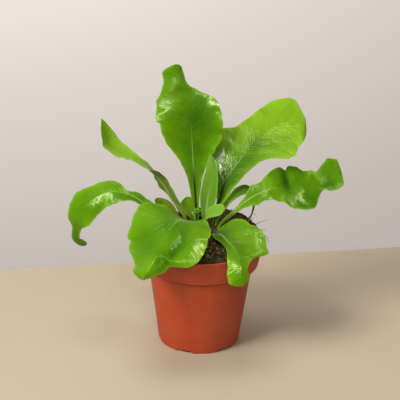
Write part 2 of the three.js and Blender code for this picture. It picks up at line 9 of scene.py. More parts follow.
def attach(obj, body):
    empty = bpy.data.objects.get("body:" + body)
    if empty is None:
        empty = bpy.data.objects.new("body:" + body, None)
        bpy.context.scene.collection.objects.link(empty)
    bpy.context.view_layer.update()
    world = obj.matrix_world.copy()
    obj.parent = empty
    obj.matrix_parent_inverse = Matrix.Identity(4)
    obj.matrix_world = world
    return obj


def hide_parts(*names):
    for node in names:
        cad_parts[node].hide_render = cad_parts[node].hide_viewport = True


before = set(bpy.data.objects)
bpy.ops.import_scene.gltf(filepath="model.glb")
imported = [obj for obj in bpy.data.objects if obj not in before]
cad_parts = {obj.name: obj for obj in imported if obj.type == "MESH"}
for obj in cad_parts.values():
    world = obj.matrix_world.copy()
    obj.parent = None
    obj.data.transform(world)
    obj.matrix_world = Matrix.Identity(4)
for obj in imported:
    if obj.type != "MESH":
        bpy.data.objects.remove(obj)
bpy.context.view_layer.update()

mm = 0.001
print("frame loaded:", len(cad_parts), "solids")

# Camera, stage and light

view = {
    "aim": (-1.5 * mm, 0.0, 126 * mm),
    "distance": 1.4,
    "down": 23.4,  # degrees below the level
    "roll": 1.3,
    "lens": 152.36,
    "nearest": 0.05,
    "farthest": 50,
}
stageSizes = {
    "tableBackLeft": (-184.1 * mm, 118.4 * mm),
    "tableBackRight": (191.2 * mm, 188.7 * mm),
    "tableReach": 3.0,
    "tableThick": 0.03,
    "tableColour": (0.49, 0.41, 0.295),
    "wallDistance": 3.2,
    "wallHalfWidth": 8,
    "wallFrom": -3.5,
    "wallTo": 5,
    "wallColour": (0.84, 0.775, 0.74),
}
lights = {
    "key": {"at": (-1.2, -1.0, 1.4), "size": 0.7, "power": 36, "colour": (1, 0.97, 0.93), "only": "diffuse"},
    "overhead": {
        "at": (-0.25, 0.1, 1.9), "size": 0.9, "power": 14, "colour": (1, 0.98, 0.96), "only": "diffuse",
    },
    "front": {"at": (0.15, -1.6, 1.2), "size": 0.4, "power": 9, "colour": (1, 0.98, 0.96), "only": "diffuse"},
    "sheen": {
        "at": (-0.25, -1.0, 1.75), "size": 0.4, "power": 48, "colour": (1, 0.99, 0.97), "only": "glossy",
    },
    "wall": {
        "at": (-0.8, 1.0, 1.5), "aim": (-1.15, 3.79, 0.5), "size": 1.4, "power": 112,
        "colour": (1, 0.98, 0.965),
    },
}
sky = {"colour": (1.0, 0.965, 0.94), "strength": 0.12}


def addCamera():
    down = math.radians(view["down"])
    roll = math.radians(view["roll"])
    forward = Vector((0, math.cos(down), -math.sin(down)))
    level = Vector((1, 0, 0))
    lifted = level.cross(forward)
    right = math.cos(roll) * level + math.sin(roll) * lifted
    up = math.cos(roll) * lifted - math.sin(roll) * level
    camera = bpy.data.objects.new("camera", bpy.data.cameras.new("camera"))
    camera.data.lens = view["lens"]
    camera.data.clip_start = view["nearest"]
    camera.data.clip_end = view["farthest"]
    turn = Matrix((right, up, -forward)).transposed().to_4x4()
    turn.translation = Vector(view["aim"]) - forward * view["distance"]
    camera.matrix_world = turn
    bpy.context.scene.collection.objects.link(camera)
    bpy.context.scene.camera = camera


# A light with "only" set reaches the surfaces by that kind of ray alone
def addLight(name, at, size, power, colour, aim=(0, 0, 0.1), only=""):
    lamp = bpy.data.lights.new(name, "AREA")
    lamp.size = size
    lamp.energy = power
    lamp.color = colour
    thing = bpy.data.objects.new(name, lamp)
    thing.visible_glossy = only != "diffuse"
    thing.visible_diffuse = only != "glossy"
    thing.visible_transmission = only != "glossy"
    thing.location = at
    thing.rotation_mode = "QUATERNION"
    thing.rotation_quaternion = (Vector(aim) - Vector(at)).to_track_quat("-Z", "Y")
    bpy.context.scene.collection.objects.link(thing)


# Small helpers for meshes and node trees

def smoothFaces(mesh, smooth=True):
    mesh.polygons.foreach_set("use_smooth", [smooth] * len(mesh.polygons))


def makeObject(name, points, faces, materials=(), faceSlots=None, smooth=True):
    mesh = bpy.data.meshes.new(name)
    mesh.from_pydata([tuple(p) for p in points], [], faces)
    for material in materials:
        mesh.materials.append(material)
    if faceSlots is not None:
        mesh.polygons.foreach_set("material_index", faceSlots)
    smoothFaces(mesh, smooth)
    mesh.validate()
    thing = bpy.data.objects.new(name, mesh)
    bpy.context.scene.collection.objects.link(thing)
    return thing


def ringPoints(radius, height, sides):
    turns = [2 * math.pi * side / sides for side in range(sides)]
    return [(radius * math.cos(turn) * mm, radius * math.sin(turn) * mm, height * mm) for turn in turns]


# Faces between two rings of points, given by the numbers of their first points
def ringFaces(first, second, sides):
    pairs = [(side, (side + 1) % sides) for side in range(sides)]
    return [(first + side, first + after, second + after, second + side) for side, after in pairs]


# Joins or sets the inputs of a node, each by its name or place
def feed(node, inputs):
    for key, value in inputs.items():
        if isinstance(value, bpy.types.NodeSocket):
            node.id_data.links.new(value, node.inputs[key])
        else:
            node.inputs[key].default_value = value
    return node


# Nodes stand in rows, in the order in which they are made
def addNode(tree, kind, inputs=None, **settings):
    row, column = divmod(len(tree.nodes), 10)
    node = tree.nodes.new(kind)
    node.location = (column * 200, row * -400)
    for key, value in settings.items():
        setattr(node, key, value)
    return feed(node, inputs or {})


def mathNode(tree, what, *values, clamp=False):
    node = addNode(tree, "ShaderNodeMath", dict(enumerate(values)), operation=what, use_clamp=clamp)
    return node.outputs[0]


def vectorNode(tree, what, inputs):
    return addNode(tree, "ShaderNodeVectorMath", inputs, operation=what).outputs


# The Mix node has its colours at places 6 and 7, and the mixed colour at place 2
def mixColour(tree, amount, first, second):
    colours = [(*value, 1.0) if isinstance(value, tuple) else value for value in (first, second)]
    node = addNode(tree, "ShaderNodeMix", {0: amount, 6: colours[0], 7: colours[1]}, data_type="RGBA")
    return node.outputs[2]


def remap(tree, value, low, high, toLow=0.0, toHigh=1.0):
    inputs = {"Value": value, "From Min": low, "From Max": high, "To Min": toLow, "To Max": toHigh}
    return addNode(tree, "ShaderNodeMapRange", inputs, clamp=True, interpolation_type="SMOOTHSTEP").outputs[0]


def noiseNode(tree, vector, scale, detail=3.0, rough=0.55):
    inputs = {"Vector": vector, "Scale": scale, "Detail": detail, "Roughness": rough}
    return addNode(tree, "ShaderNodeTexNoise", inputs).outputs[0]


def attributeNode(tree, name):
    return addNode(tree, "ShaderNodeAttribute", attribute_name=name).outputs["Fac"]


def objectPlace(tree):
    return addNode(tree, "ShaderNodeTexCoord").outputs["Object"]


def splitVector(tree, vector):
    return addNode(tree, "ShaderNodeSeparateXYZ", {0: vector}).outputs


def newMaterial(name):
    material = bpy.data.materials.new(name)
    material.use_nodes = True
    tree = material.node_tree
    tree.nodes.clear()
    surface = addNode(tree, "ShaderNodeBsdfPrincipled")
    addNode(tree, "ShaderNodeOutputMaterial", {0: surface.outputs[0]})
    return material, tree, surface


def addBump(tree, surface, height, depth):
    bump = addNode(tree, "ShaderNodeBump", {"Strength": 1.0, "Distance": depth, "Height": height})
    feed(surface, {"Normal": bump.outputs[0]})


# A shader node group with named inputs and outputs
def newGroup(name, inputs, outputs):
    tree = bpy.data.node_groups.new(name, "ShaderNodeTree")
    for label, start in inputs.items():
        socket = tree.interface.new_socket(name=label, in_out="INPUT", socket_type="NodeSocketFloat")
        socket.default_value = start
    for label in outputs:
        tree.interface.new_socket(name=label, in_out="OUTPUT", socket_type="NodeSocketFloat")
    return tree, addNode(tree, "NodeGroupInput").outputs, addNode(tree, "NodeGroupOutput")


# Shared effect: soft patches and fine grain, on Object coordinates
def buildPatchesAndGrain():
    starts = {"Patch Size": 0.02, "Grain Size": 0.001}
    tree, given, leave = newGroup("patchesAndGrain", starts, ("Patches", "Grain"))
    place = objectPlace(tree)
    patches = noiseNode(tree, place, mathNode(tree, "DIVIDE", 1.0, given["Patch Size"]), 4.0, 0.5)
    grain = noiseNode(tree, place, mathNode(tree, "DIVIDE", 1.0, given["Grain Size"]), 3.0, 0.5)
    feed(leave, {"Patches": remap(tree, patches, 0.3, 0.7), "Grain": grain})
    return tree


# What the veins of every blade look like. Lengths are in millimetres.
veinLook = {
    "alongFlow": 0.1, "acrossFlow": 0.014,  # the streaks run out along the veins, much longer than wide
    # noise scale, detail, roughness
    "streaks": (7.0, 3.0, 0.65), "bands": (1.5, 3.0, 0.55), "sway": (1.1, 2.0),
    "streakRange": (0.3, 0.72), "bandRange": (0.32, 0.68),
    "swayAmount": 3.0, "sharpness": 2.5,
    "brownFade": (1.25, 0.7), "ribFade": (1.5, 0.6), "brownWidens": 1.1,
    "streakHeight": 2.2, "veinHeight": 0.35,
}


# Shared effect: the veins of a blade. Its map holds hundredths of the lengths on the blade in millimetres:
# u is 0.5 on the midrib, and v runs from the foot of the stem.
def buildVeins():
    tree, given, leave = newGroup(
        "bladeVeins",
        {"Rib Width": 0.45, "Vein Spacing": 1.1, "Slant": 0.85, "Brown Reach": 30.0},
        ("Rib", "Brown", "Veins", "Streaks", "Bands", "Height"),
    )
    lengths = splitVector(tree, addNode(tree, "ShaderNodeUVMap", uv_map="bladeSize").outputs[0])
    sideways = mathNode(tree, "MULTIPLY", mathNode(tree, "SUBTRACT", lengths[0], 0.5), 100.0)
    away = mathNode(tree, "ABSOLUTE", sideways)
    along = mathNode(tree, "MULTIPLY", lengths[1], 100.0)
    slanted = mathNode(tree, "SUBTRACT", along, mathNode(tree, "MULTIPLY", away, given["Slant"]))
    alongFlow = mathNode(tree, "MULTIPLY", slanted, veinLook["alongFlow"])
    acrossFlow = mathNode(tree, "MULTIPLY", sideways, veinLook["acrossFlow"])
    place = addNode(tree, "ShaderNodeCombineXYZ", {0: alongFlow, 1: acrossFlow}).outputs[0]
    streaks = noiseNode(tree, place, *veinLook["streaks"])
    bands = noiseNode(tree, place, *veinLook["bands"])
    sway = mathNode(tree, "MULTIPLY", noiseNode(tree, place, *veinLook["sway"]), veinLook["swayAmount"])
    swayed = mathNode(tree, "ADD", mathNode(tree, "DIVIDE", slanted, given["Vein Spacing"]), sway)
    wave = mathNode(tree, "COSINE", mathNode(tree, "MULTIPLY", swayed, 2 * math.pi))
    veins = mathNode(tree, "POWER", mathNode(tree, "MULTIPLY_ADD", wave, 0.5, 0.5), veinLook["sharpness"])
    brown = remap(tree, mathNode(tree, "DIVIDE", along, given["Brown Reach"]), *veinLook["brownFade"])
    widening = mathNode(tree, "MULTIPLY_ADD", brown, veinLook["brownWidens"], 1.0)
    ribShare = mathNode(tree, "DIVIDE", away, mathNode(tree, "MULTIPLY", widening, given["Rib Width"]))
    veinHeight = mathNode(tree, "MULTIPLY", veins, veinLook["veinHeight"])
    feed(leave, {
        "Rib": remap(tree, ribShare, *veinLook["ribFade"]),
        "Brown": brown,
        "Veins": veins,
        "Streaks": remap(tree, streaks, *veinLook["streakRange"]),
        "Bands": remap(tree, bands, *veinLook["bandRange"]),
        "Height": mathNode(tree, "MULTIPLY_ADD", streaks, veinLook["streakHeight"], veinHeight),
    })
    return tree


patchesAndGrain = buildPatchesAndGrain()
bladeVeins = buildVeins()


def addGroup(tree, group, inputs):
    node = addNode(tree, "ShaderNodeGroup")
    node.node_tree = group
    return feed(node, inputs).outputs


def addPatches(tree, patch, grain):
    return addGroup(tree, patchesAndGrain, {"Patch Size": patch, "Grain Size": grain})


# Leaf finishes. Colours are scene-linear. "through" is how much light shines through deep green, "thin" what
# fresh green adds to it, and the lengths are in millimetres.
leafTop = {
    "deep": (0.026, 0.118, 0.0002), "fresh": (0.225, 0.53, 0.003), "rib": (0.30, 0.50, 0.10),
    "margin": (0.34, 0.62, 0.03), "ribBrown": (0.022, 0.010, 0.005), "stem": (0.12, 0.24, 0.02),
    "glow": (0.40, 0.75, 0.02), "roughness": (0.13, 0.30), "shine": 0.62, "veinShow": 0.06,
    "through": 0.09, "thin": 0.25, "bump": 0.00016, "ribWidth": 0.34, "brownReach": 56.0,
}
leafFinishes = {
    "leafTop": leafTop,
    "paleTop": {
        **leafTop, "deep": (0.028, 0.122, 0.0002), "fresh": (0.42, 0.80, 0.02), "rib": (0.34, 0.52, 0.12),
        "margin": (0.40, 0.66, 0.05), "glow": (0.45, 0.80, 0.03), "shine": 0.6, "veinShow": 0.14,
    },
    "leafUnder": {
        "deep": (0.075, 0.155, 0.012), "fresh": (0.16, 0.29, 0.03), "rib": (0.28, 0.40, 0.10),
        "margin": (0.28, 0.45, 0.04), "ribBrown": (0.05, 0.028, 0.012), "stem": (0.13, 0.2, 0.04),
        "glow": (0.40, 0.75, 0.02), "roughness": (0.44, 0.60), "shine": 0.35, "veinShow": 0.26,
        "through": 0.14, "thin": 0.15, "bump": 0.00022, "ribWidth": 0.7, "brownReach": 42.0,
    },
    "youngTop": {
        "deep": (0.11, 0.30, 0.012), "fresh": (0.24, 0.48, 0.04), "rib": (0.40, 0.60, 0.16),
        "margin": (0.42, 0.66, 0.10), "ribBrown": (0.10, 0.13, 0.02), "stem": (0.2, 0.34, 0.05),
        "glow": (0.5, 0.8, 0.05), "roughness": (0.32, 0.46), "shine": 0.4, "veinShow": 0.10,
        "through": 0.18, "thin": 0.12, "bump": 0.00018, "ribWidth": 0.5, "brownReach": 8.0,
    },
    "oldTop": {
        "deep": (0.09, 0.19, 0.003), "fresh": (0.22, 0.33, 0.006), "rib": (0.26, 0.27, 0.03),
        "margin": (0.30, 0.36, 0.03), "ribBrown": (0.05, 0.022, 0.008), "stem": (0.13, 0.12, 0.015),
        "glow": (0.4, 0.48, 0.03), "roughness": (0.40, 0.56), "shine": 0.3, "veinShow": 0.18,
        "through": 0.14, "thin": 0.1, "bump": 0.00020, "ribWidth": 0.5, "brownReach": 20.0,
    },
}
# What all the finishes share
leafLook = {
    "patchSize": 0.022, "grainSize": 0.0009, "grainHeight": 0.5,
    "patchTone": 0.22, "streakTone": 0.04, "bandTone": 0.06, "toneOffset": 0.07,
    "stemShow": 0.22, "marginShow": 0.5, "glowShow": 0.6,
    "streakGloss": (0.45, 1.6),
    "whiteGloss": (0.9, 2.4),  # highlights turn from green to white over this gloss
    "greenShine": (0.88, 1.0, 0.42), "whiteShine": (0.96, 1.0, 0.86),
}


def leafMaterial(name):
    finish = leafFinishes[name]
    material, tree, surface = newMaterial(name)
    marks = addGroup(tree, bladeVeins, {"Rib Width": finish["ribWidth"], "Brown Reach": finish["brownReach"]})
    patches = addPatches(tree, leafLook["patchSize"], leafLook["grainSize"])
    blend = attributeNode(tree, "tone")
    for mask, amount in (
        (patches["Patches"], "patchTone"),
        (marks["Streaks"], "streakTone"),
        (marks["Bands"], "bandTone"),
    ):
        blend = mathNode(tree, "MULTIPLY_ADD", mask, leafLook[amount], blend)
    blend = mathNode(tree, "SUBTRACT", blend, leafLook["toneOffset"], clamp=True)
    green = mixColour(tree, blend, finish["deep"], finish["fresh"])
    veins = mathNode(tree, "MULTIPLY", marks["Veins"], finish["veinShow"])
    veined = mixColour(tree, veins, green, finish["rib"])
    foot = mathNode(tree, "MULTIPLY", marks["Brown"], leafLook["stemShow"])
    footed = mixColour(tree, foot, veined, finish["stem"])
    # painted light: a paler line along the margin, for light shining through the thin edge
    margin = mathNode(tree, "MULTIPLY", attributeNode(tree, "margin"), leafLook["marginShow"])
    edged = mixColour(tree, margin, footed, finish["margin"])
    browned = mathNode(tree, "MULTIPLY", marks["Brown"], attributeNode(tree, "brownRib"))
    ribTint = mixColour(tree, browned, finish["rib"], finish["ribBrown"])
    rib = mathNode(tree, "MULTIPLY", marks["Rib"], attributeNode(tree, "ribShow"))
    ribbed = mixColour(tree, rib, edged, ribTint)
    gloss = attributeNode(tree, "gloss")
    shines = [finish["shine"] * share for share in leafLook["streakGloss"]]
    streaked = remap(tree, marks["Streaks"], 0.2, 0.8, *shines)
    whiter = remap(tree, gloss, *leafLook["whiteGloss"])
    feed(surface, {
        "Base Color": ribbed,
        "Roughness": remap(tree, marks["Streaks"], 0.1, 0.9, *finish["roughness"]),
        "Specular IOR Level": mathNode(tree, "MULTIPLY", gloss, streaked),
        "Specular Tint": mixColour(tree, whiter, leafLook["greenShine"], leafLook["whiteShine"]),
    })
    height = mathNode(tree, "MULTIPLY_ADD", patches["Grain"], leafLook["grainHeight"], marks["Height"])
    addBump(tree, surface, height, finish["bump"])
    # light that shines through
    glowColour = mixColour(tree, leafLook["glowShow"], ribbed, finish["glow"])
    glow = addNode(tree, "ShaderNodeBsdfTranslucent", {"Color": glowColour})
    thin = mathNode(tree, "MULTIPLY_ADD", blend, finish["thin"], finish["through"])
    both = addNode(tree, "ShaderNodeMixShader", {0: thin, 1: surface.outputs[0], 2: glow.outputs[0]})
    feed(tree.nodes["Material Output"], {0: both.outputs[0]})
    return material


leafMaterials = {name: leafMaterial(name) for name in leafFinishes}


# Fronds, with sizes in millimetres. A station is x, y, z, roll in degrees, left and right width, left and
# right lift, and left and right are as seen looking out along the heading. A nick is side (-1 left, 1 right),
# share along, depth (below 0 for a lobe), and its reach before and after. Tone runs from deep to fresh green
# at the foot, the middle and the tip. Spots that lighten or darken, polish or raise the blade are share
# along, place across from -1 to 1, amount, reach along and reach across. The tone spots are partly the leaf's
# own uneven green and partly painted shade, darker in the folds and where a blade turns from the light.
# brownRib is how brown the foot of the midrib is.
plainFrond = {
    "look": "leafTop", "slot": "leaf", "phases": (0.1, 0.5), "brownRib": 0.15, "gloss": 1.0,
    "toneAndShadeSpots": [], "glossSpots": [], "swells": [], "nicks": [],
}
fronds = {
    "frondTall": {
        "node": "frond_tall", "heading": 93, "waves": 1.8, "ruffle": 3.2, "phases": (0.27, 0.3),
        "roundTip": 0.058, "rows": 240, "tone": (0.25, 0.28, 0.38), "frill": 0.7, "seed": 3, "brownRib": 1,
        "gloss": 0.4,
        "toneAndShadeSpots": [(0.6, 0.2, -0.2, 0.2, 0.5), (0.45, -0.7, 0.15, 0.12, 0.4), (0.93, 0, -0.15, 0.06, 1)],
        "glossSpots": [(0.72, -0.7, 0.9, 0.12, 0.45), (0.68, 0.75, 0.9, 0.07, 0.4)],
        "swells": [(0.62, -0.75, 3.0, 0.09, 0.4), (0.61, 0.8, 2.4, 0.07, 0.4), (0.83, -0.5, 1.5, 0.05, 0.5)],
        "nicks": [
            (-1, 0.598, 2.2, 0.031, 0.008), (-1, 0.893, 1, 0.019, 0.025), (1, 0.75, 1.4, 0.037, 0.017),
            (1, 0.47, 0.8, 0.016, 0.019),
        ],
        "stations": [
            (-4, 7, 94, 0, 1.8, 1.8, 0, 0),
            (-4, 8, 108, 0, 1.8, 1.8, 0.6, 0.6),
            (-5.2, 11, 123.3, 0, 3.5, 3.2, 1.2, 1.2),
            (-6.8, 15, 140.2, 0, 5.8, 7.3, 1.8, 1.8),
            (-8.1, 19, 154.3, 0, 11.2, 14.1, 2.5, 2.5),
            (-9.3, 23, 169.6, 0, 21.9, 23.9, 1, 1.5),
            (-10.3, 27, 185.8, 0, 28.2, 25.7, -1, 1),
            (-12.3, 31, 200, 0, 27.6, 21.3, -1, 1),
            (-15.9, 35, 211.4, 0, 24.7, 4.5, -1, 0),
            (-22, 38, 222.2, 0, 14.1, 4.8, -2, -2),
            (-24.8, 40, 230, 0, 11.5, 5, -1, -1),
        ],
    },
    "frondRightHigh": {
        "node": "frond_right_high", "look": "paleTop", "heading": 30, "waves": 1.6, "ruffle": 1.8,
        "phases": (0.3, 0.8), "roundTip": 0.195, "rows": 220, "tone": (0.1, 0.15, 0.6), "frill": 0.5,
        "seed": 7, "brownRib": 1, "gloss": 0.2,
        "toneAndShadeSpots": [
            (0.33, 0.1, -0.25, 0.1, 0.5), (0.55, 0.05, -0.2, 0.18, 0.4), (0.8, -0.4, 0.1, 0.12, 0.4),
        ],
        "glossSpots": [(0.45, -0.8, 3.2, 0.08, 0.4), (0.8, -0.2, 0.3, 0.12, 0.6)],
        "nicks": [
            (-1, 0.579, -5.1, 0.022, 0.037), (-1, 0.881, 1.5, 0.032, 0.038), (-1, 0.994, -7.4, 0.034, 0.032),
            (1, 0.693, -3.7, 0.039, 0.029), (1, 0.86, 2.6, 0.06, 0.05),
        ],
        "stations": [
            (8, 6, 94, 0, 1.8, 1.8, 0, 0),
            (10, 6, 108, -10, 1.8, 1.8, 0.5, 0.5),
            (14.8, 8, 122.2, -25, 2.4, 5.3, 1, 1),
            (19, 13, 137.1, -30, 11.5, 10.5, 4, 1),
            (29.8, 21, 152, -30, 27.8, 12.5, 6, 0),
            (41.8, 28, 165.1, -30, 20.7, 18.5, 4, 0),
            (56, 36, 176, -30, 21.4, 32.4, 0, 0),
            (70.9, 42, 181.2, -30, 29.1, 30.2, -2, -2),
            (85.7, 46, 182, -30, 46.3, 31.5, -4, -4),
        ],
    },
    "frondRightLow": {
        "node": "frond_right_low", "heading": 8, "waves": 2.6, "ruffle": 3, "phases": (0, 0.4),
        "roundTip": 0.021, "rows": 220, "tone": (0.35, 0.35, 0.3), "frill": 0.8, "seed": 11, "gloss": 0.24,
        "toneAndShadeSpots": [
            (0.74, 0.85, -0.45, 0.12, 0.5), (0.605, -0.5, -0.5, 0.022, 0.6), (0.5, -0.3, 0.2, 0.06, 0.6),
            (0.88, 0, -0.2, 0.06, 1),
        ],
        "glossSpots": [(0.48, -0.2, 0.3, 0.07, 0.8), (0.67, 0.35, 0.8, 0.05, 0.3)],
        "swells": [
            (0.61, -0.5, -2.8, 0.035, 0.6), (0.7, 0.15, 2.2, 0.06, 0.45), (0.5, -0.2, 1.8, 0.06, 0.6),
            (0.84, 0, -1.5, 0.04, 0.6),
        ],
        "nicks": [
            (-1, 0.611, 3, 0.019, 0.011), (-1, 0.841, 3.9, 0.023, 0.036), (1, 0.826, 9.5, 0.054, 0.055),
            (1, 0.984, 3.9, 0.031, 0.013), (-1, 0.927, -3.5, 0.023, 0.045), (-1, 0.389, -3.7, 0.043, 0.035),
            (1, 0.365, -3.1, 0.035, 0.031),
        ],
        "stations": [
            (13, -3, 94, 0, 1.8, 1.8, 0, 0),
            (16, -2, 105, -10, 1.8, 1.8, 0.4, 0.4),
            (27, 1, 115.6, -20, 1.7, 3.2, 0.5, 0.5),
            (38.5, 4, 125.5, -30, 4.2, 6.7, 0.5, 0.5),
            (51.6, 8, 131.5, -35, 8.9, 8.1, 1, 0),
            (65.2, 11, 133, -35, 20.2, 12.5, 0, 0),
            (78.7, 13, 133.2, -35, 24.2, 21.3, 0, -2),
            (91.3, 15, 134.2, -35, 14.9, 22.1, 0, -2),
            (104.1, 17, 136.8, -35, 18.5, 9.2, 0, 0),
            (117.3, 17, 140.7, -31, 23, 10.7, -2.4, -1),
        ],
    },
    "frondArched": {
        "node": "frond_arched", "heading": 18, "waves": 1.5, "ruffle": 0.8, "phases": (0, 0.5),
        "roundTip": 0.05, "rows": 140, "tone": (0.4, 0.4, 0.2), "frill": 0.3, "seed": 17,
        "stations": [
            (11, 2, 94, 0, 1.6, 1.6, 0, 0),
            (13, 3.6, 105, -40, 1.6, 1.4, 0.4, 0.4),
            (17.5, 4, 115.5, -90, 4, 1.4, 1, 1),
            (25.2, 6.7, 125, -90, 5, 1.6, 1, 1),
            (35.5, 13.7, 130.2, -50, 4.8, 4, 0, 0),
            (44, 16, 126, -20, 6, 6, -1, -1),
            (44.5, 14, 118, -10, 4, 4, -1, -1),
            (42, 10, 110, 0, 1.6, 1.6, 0, 0),
            (39, 8, 103, 0, 1, 1, 0, 0),
        ],
    },
    "frondLeftArching": {
        "node": "frond_left_arching", "heading": 178, "waves": 1.6, "ruffle": 1.2, "phases": (0.2, 0.6),
        "roundTip": 0.04, "rows": 240, "tone": (0.25, 0.5, 0.1), "frill": 0.5, "seed": 23, "gloss": 0.5,
        "toneAndShadeSpots": [(0.4, -0.8, -0.3, 0.08, 0.5), (0.62, -0.9, -0.2, 0.1, 0.4)],
        "glossSpots": [(0.53, 0.3, 1.2, 0.1, 0.9)],
        "swells": [(0.46, 0, 0.8, 0.06, 0.8), (0.6, -0.5, 1.6, 0.06, 0.6)],
        "nicks": [
            (-1, 0.787, 0.5, 0.013, 0.042), (1, 0.387, 3.3, 0.026, 0.027), (1, 0.77, -1.3, 0.03, 0.033),
        ],
        "stations": [
            (-11, -2, 94, 0, 1.8, 1.8, 0, 0),
            (-15, 0, 103, 0, 1.8, 1.8, 0.4, 0.4),
            (-30.7, 3, 112.2, 15, 2.3, 3, 0.6, 0.6),
            (-46.7, 5, 119.2, 30, 4.1, 4.7, 1, 1),
            (-58.6, 6, 125.9, 35, 5.5, 5.4, 1, 1),
            (-74.6, 6, 128.7, 38, 11.1, 11.2, -1, -1),
            (-87.3, 4, 124.4, 45, 11.6, 13.1, -3, -2),
            (-96.1, 2, 116.9, 52, 12.6, 16.7, -3, -2),
            (-102.3, 1, 106.3, 60, 11.6, 11.9, 0, 0),
            (-103.8, 3, 96.2, 60, 4.4, 5.8, 0, 0),
            (-104.5, 6, 85.1, 60, 4.7, 4.4, 0, 0),
            (-96.4, 8, 78.8, 60, 4.3, 5, 0, 0),
        ],
    },
    "frondFrontLeft": {
        "node": "frond_front_left", "heading": 240, "waves": 1.7, "ruffle": 2.5, "roundTip": 0.079,
        "rows": 220, "tone": (0.3, 0.35, 0.4), "frill": 0.8, "seed": 29, "gloss": 0.28,
        "toneAndShadeSpots": [
            (0.72, -0.33, -0.4, 0.2, 0.14), (0.5, 0.0, -0.2, 0.15, 0.25), (0.75, 0.5, -0.15, 0.1, 0.3),
            (0.9, 0.1, 0.15, 0.06, 0.5),
        ],
        "glossSpots": [(0.62, -0.75, 0.8, 0.14, 0.35), (0.93, -0.1, 0.5, 0.06, 0.8)],
        "swells": [
            (0.55, -0.8, 2.4, 0.1, 0.35), (0.7, -0.38, -2.2, 0.14, 0.18), (0.55, 0.5, 1.2, 0.1, 0.4),
            (0.85, 0.1, 1.5, 0.07, 0.4),
        ],
        "nicks": [
            (-1, 0.844, 9.2, 0.014, 0.057), (-1, 0.934, 6.9, 0.042, 0.07), (1, 0.936, 4.1, 0.046, 0.037),
            (1, 0.828, -1.3, 0.029, 0.048), (1, 0.462, -1.3, 0.035, 0.036), (1, 0.712, 2.5, 0.006, 0.04),
            (-1, 0.78, -1.8, 0.034, 0.037), (-1, 0.857, 2.2, 0.024, 0.042),
        ],
        "stations": [
            (-5, -8, 93, 0, 1.8, 1.8, 0, 0),
            (-7, -10, 104, 0, 2.2, 2.2, 0.5, 0.5),
            (-11.9, -16, 114, 0, 14.5, 16.2, 5, 6),
            (-18.4, -26, 118.9, 0, 31.3, 34.1, 0, 4),
            (-24.6, -36, 115, 0, 34.5, 36.4, -5, -1),
            (-29.9, -47, 107, 0, 33.5, 35.3, -9, -4),
            (-36.2, -60, 99.4, 0, 21.2, 23.5, -8, -5),
            (-45.5, -73, 88.4, 0, 7.4, 19.1, -3, -4),
        ],
    },
    "frondFrontRight": {
        "node": "frond_front_right", "heading": 306, "waves": 1.6, "ruffle": 1.5, "roundTip": 0.052,
        "rows": 200, "tone": (0.3, 0.4, 0.65), "frill": 0.5, "seed": 31, "gloss": 0.25,
        "toneAndShadeSpots": [
            (0.5, -0.2, -0.3, 0.15, 0.16), (0.35, -0.3, 0.1, 0.08, 0.3), (0.75, -0.6, -0.25, 0.12, 0.4),
            (0.25, 0, -0.2, 0.08, 1),
        ],
        "glossSpots": [(0.5, -0.75, 0.6, 0.09, 0.35), (0.75, 0.1, 0.9, 0.14, 0.7)],
        "swells": [(0.42, -0.75, 2.4, 0.1, 0.35), (0.5, -0.3, -1.6, 0.1, 0.3), (0.62, 0.2, 1.2, 0.08, 0.6)],
        "nicks": [(-1, 0.586, -8.1, 0.043, 0.032), (-1, 0.218, -1, 0.021, 0.015)],
        "stations": [
            (6, -9, 93, 0, 1.8, 1.8, 0, 0),
            (9, -12, 100, 0, 2.2, 1.8, 0.5, 0),
            (16.2, -19, 103.5, -12, 18.6, 7.3, 6, 0),
            (21.3, -28, 102.4, -20, 24.6, 5.1, 3, 0),
            (27.6, -38, 99.2, -20, 26.9, 7, 0, 0),
            (30.3, -48, 94.6, -20, 13.1, 9, -3, 0),
            (32.7, -55, 90.4, -22, 5.8, 11.4, -2, -1),
            (33.1, -58.5, 83.8, -22, 6.7, 11.2, -1, -1),
            (32.9, -60, 77, -22, 4.3, 9.4, 0, 0),
        ],
    },
    "frondThinLeft": {
        "node": "frond_thin_left", "look": "paleTop", "heading": 150, "waves": 2, "ruffle": 0.8,
        "roundTip": 0.042, "rows": 220, "tone": (0.2, 0.35, 1.0), "frill": 0.4, "seed": 37,
        "nicks": [
            (-1, 0.679, 2.4, 0.014, 0.018), (-1, 0.462, -3.2, 0.021, 0.032), (1, 0.451, -2.9, 0.013, 0.036),
        ],
        "stations": [
            (-10, 4, 94, 0, 1.8, 1.8, 0, 0),
            (-12, 5, 103, -30, 1.8, 1.8, 0.3, 0.3),
            (-17, 7, 112.6, -68, 3.7, 4.5, 1, 1),
            (-26, 10, 123.4, -84, 5.5, 1.7, 1, 1),
            (-32.9, 13, 134.8, -80, 6.1, 7.6, 1, 1),
            (-44.1, 17, 145.4, -28, 11.2, 9, 1, 1),
            (-54.4, 21, 151.5, 0, 5.8, 5.5, 1, 1),
            (-66.1, 25, 156.2, 0, 12.2, 8.9, 2, 2),
            (-77.3, 28, 162.8, 0, 12.2, 9.3, 3, 3),
            (-82.5, 30, 172.9, 0, 6.8, 7.4, 2, 2),
            (-84.9, 31, 184.2, 0, 0.8, 1.4, 0, 0),
        ],
    },
    "frondYoungUpright": {
        "node": "frond_young_upright", "look": "youngTop", "slot": "young_leaf", "heading": 80, "waves": 1,
        "ruffle": 0.4, "roundTip": 0.12, "rows": 140, "tone": (0.2, 0.3, 0.3), "frill": 0.15, "seed": 41,
        "toneAndShadeSpots": [(0.6, -0.6, 0.5, 0.5, 0.5), (0.95, -0.5, 0.5, 0.12, 0.6), (0.5, 0.8, -0.3, 0.4, 0.5)],
        "glossSpots": [(0.9, -0.4, 1.5, 0.12, 0.6)],
        "stations": [
            (2.5, 3, 94, 0, 1.8, 1.8, 0, 0),
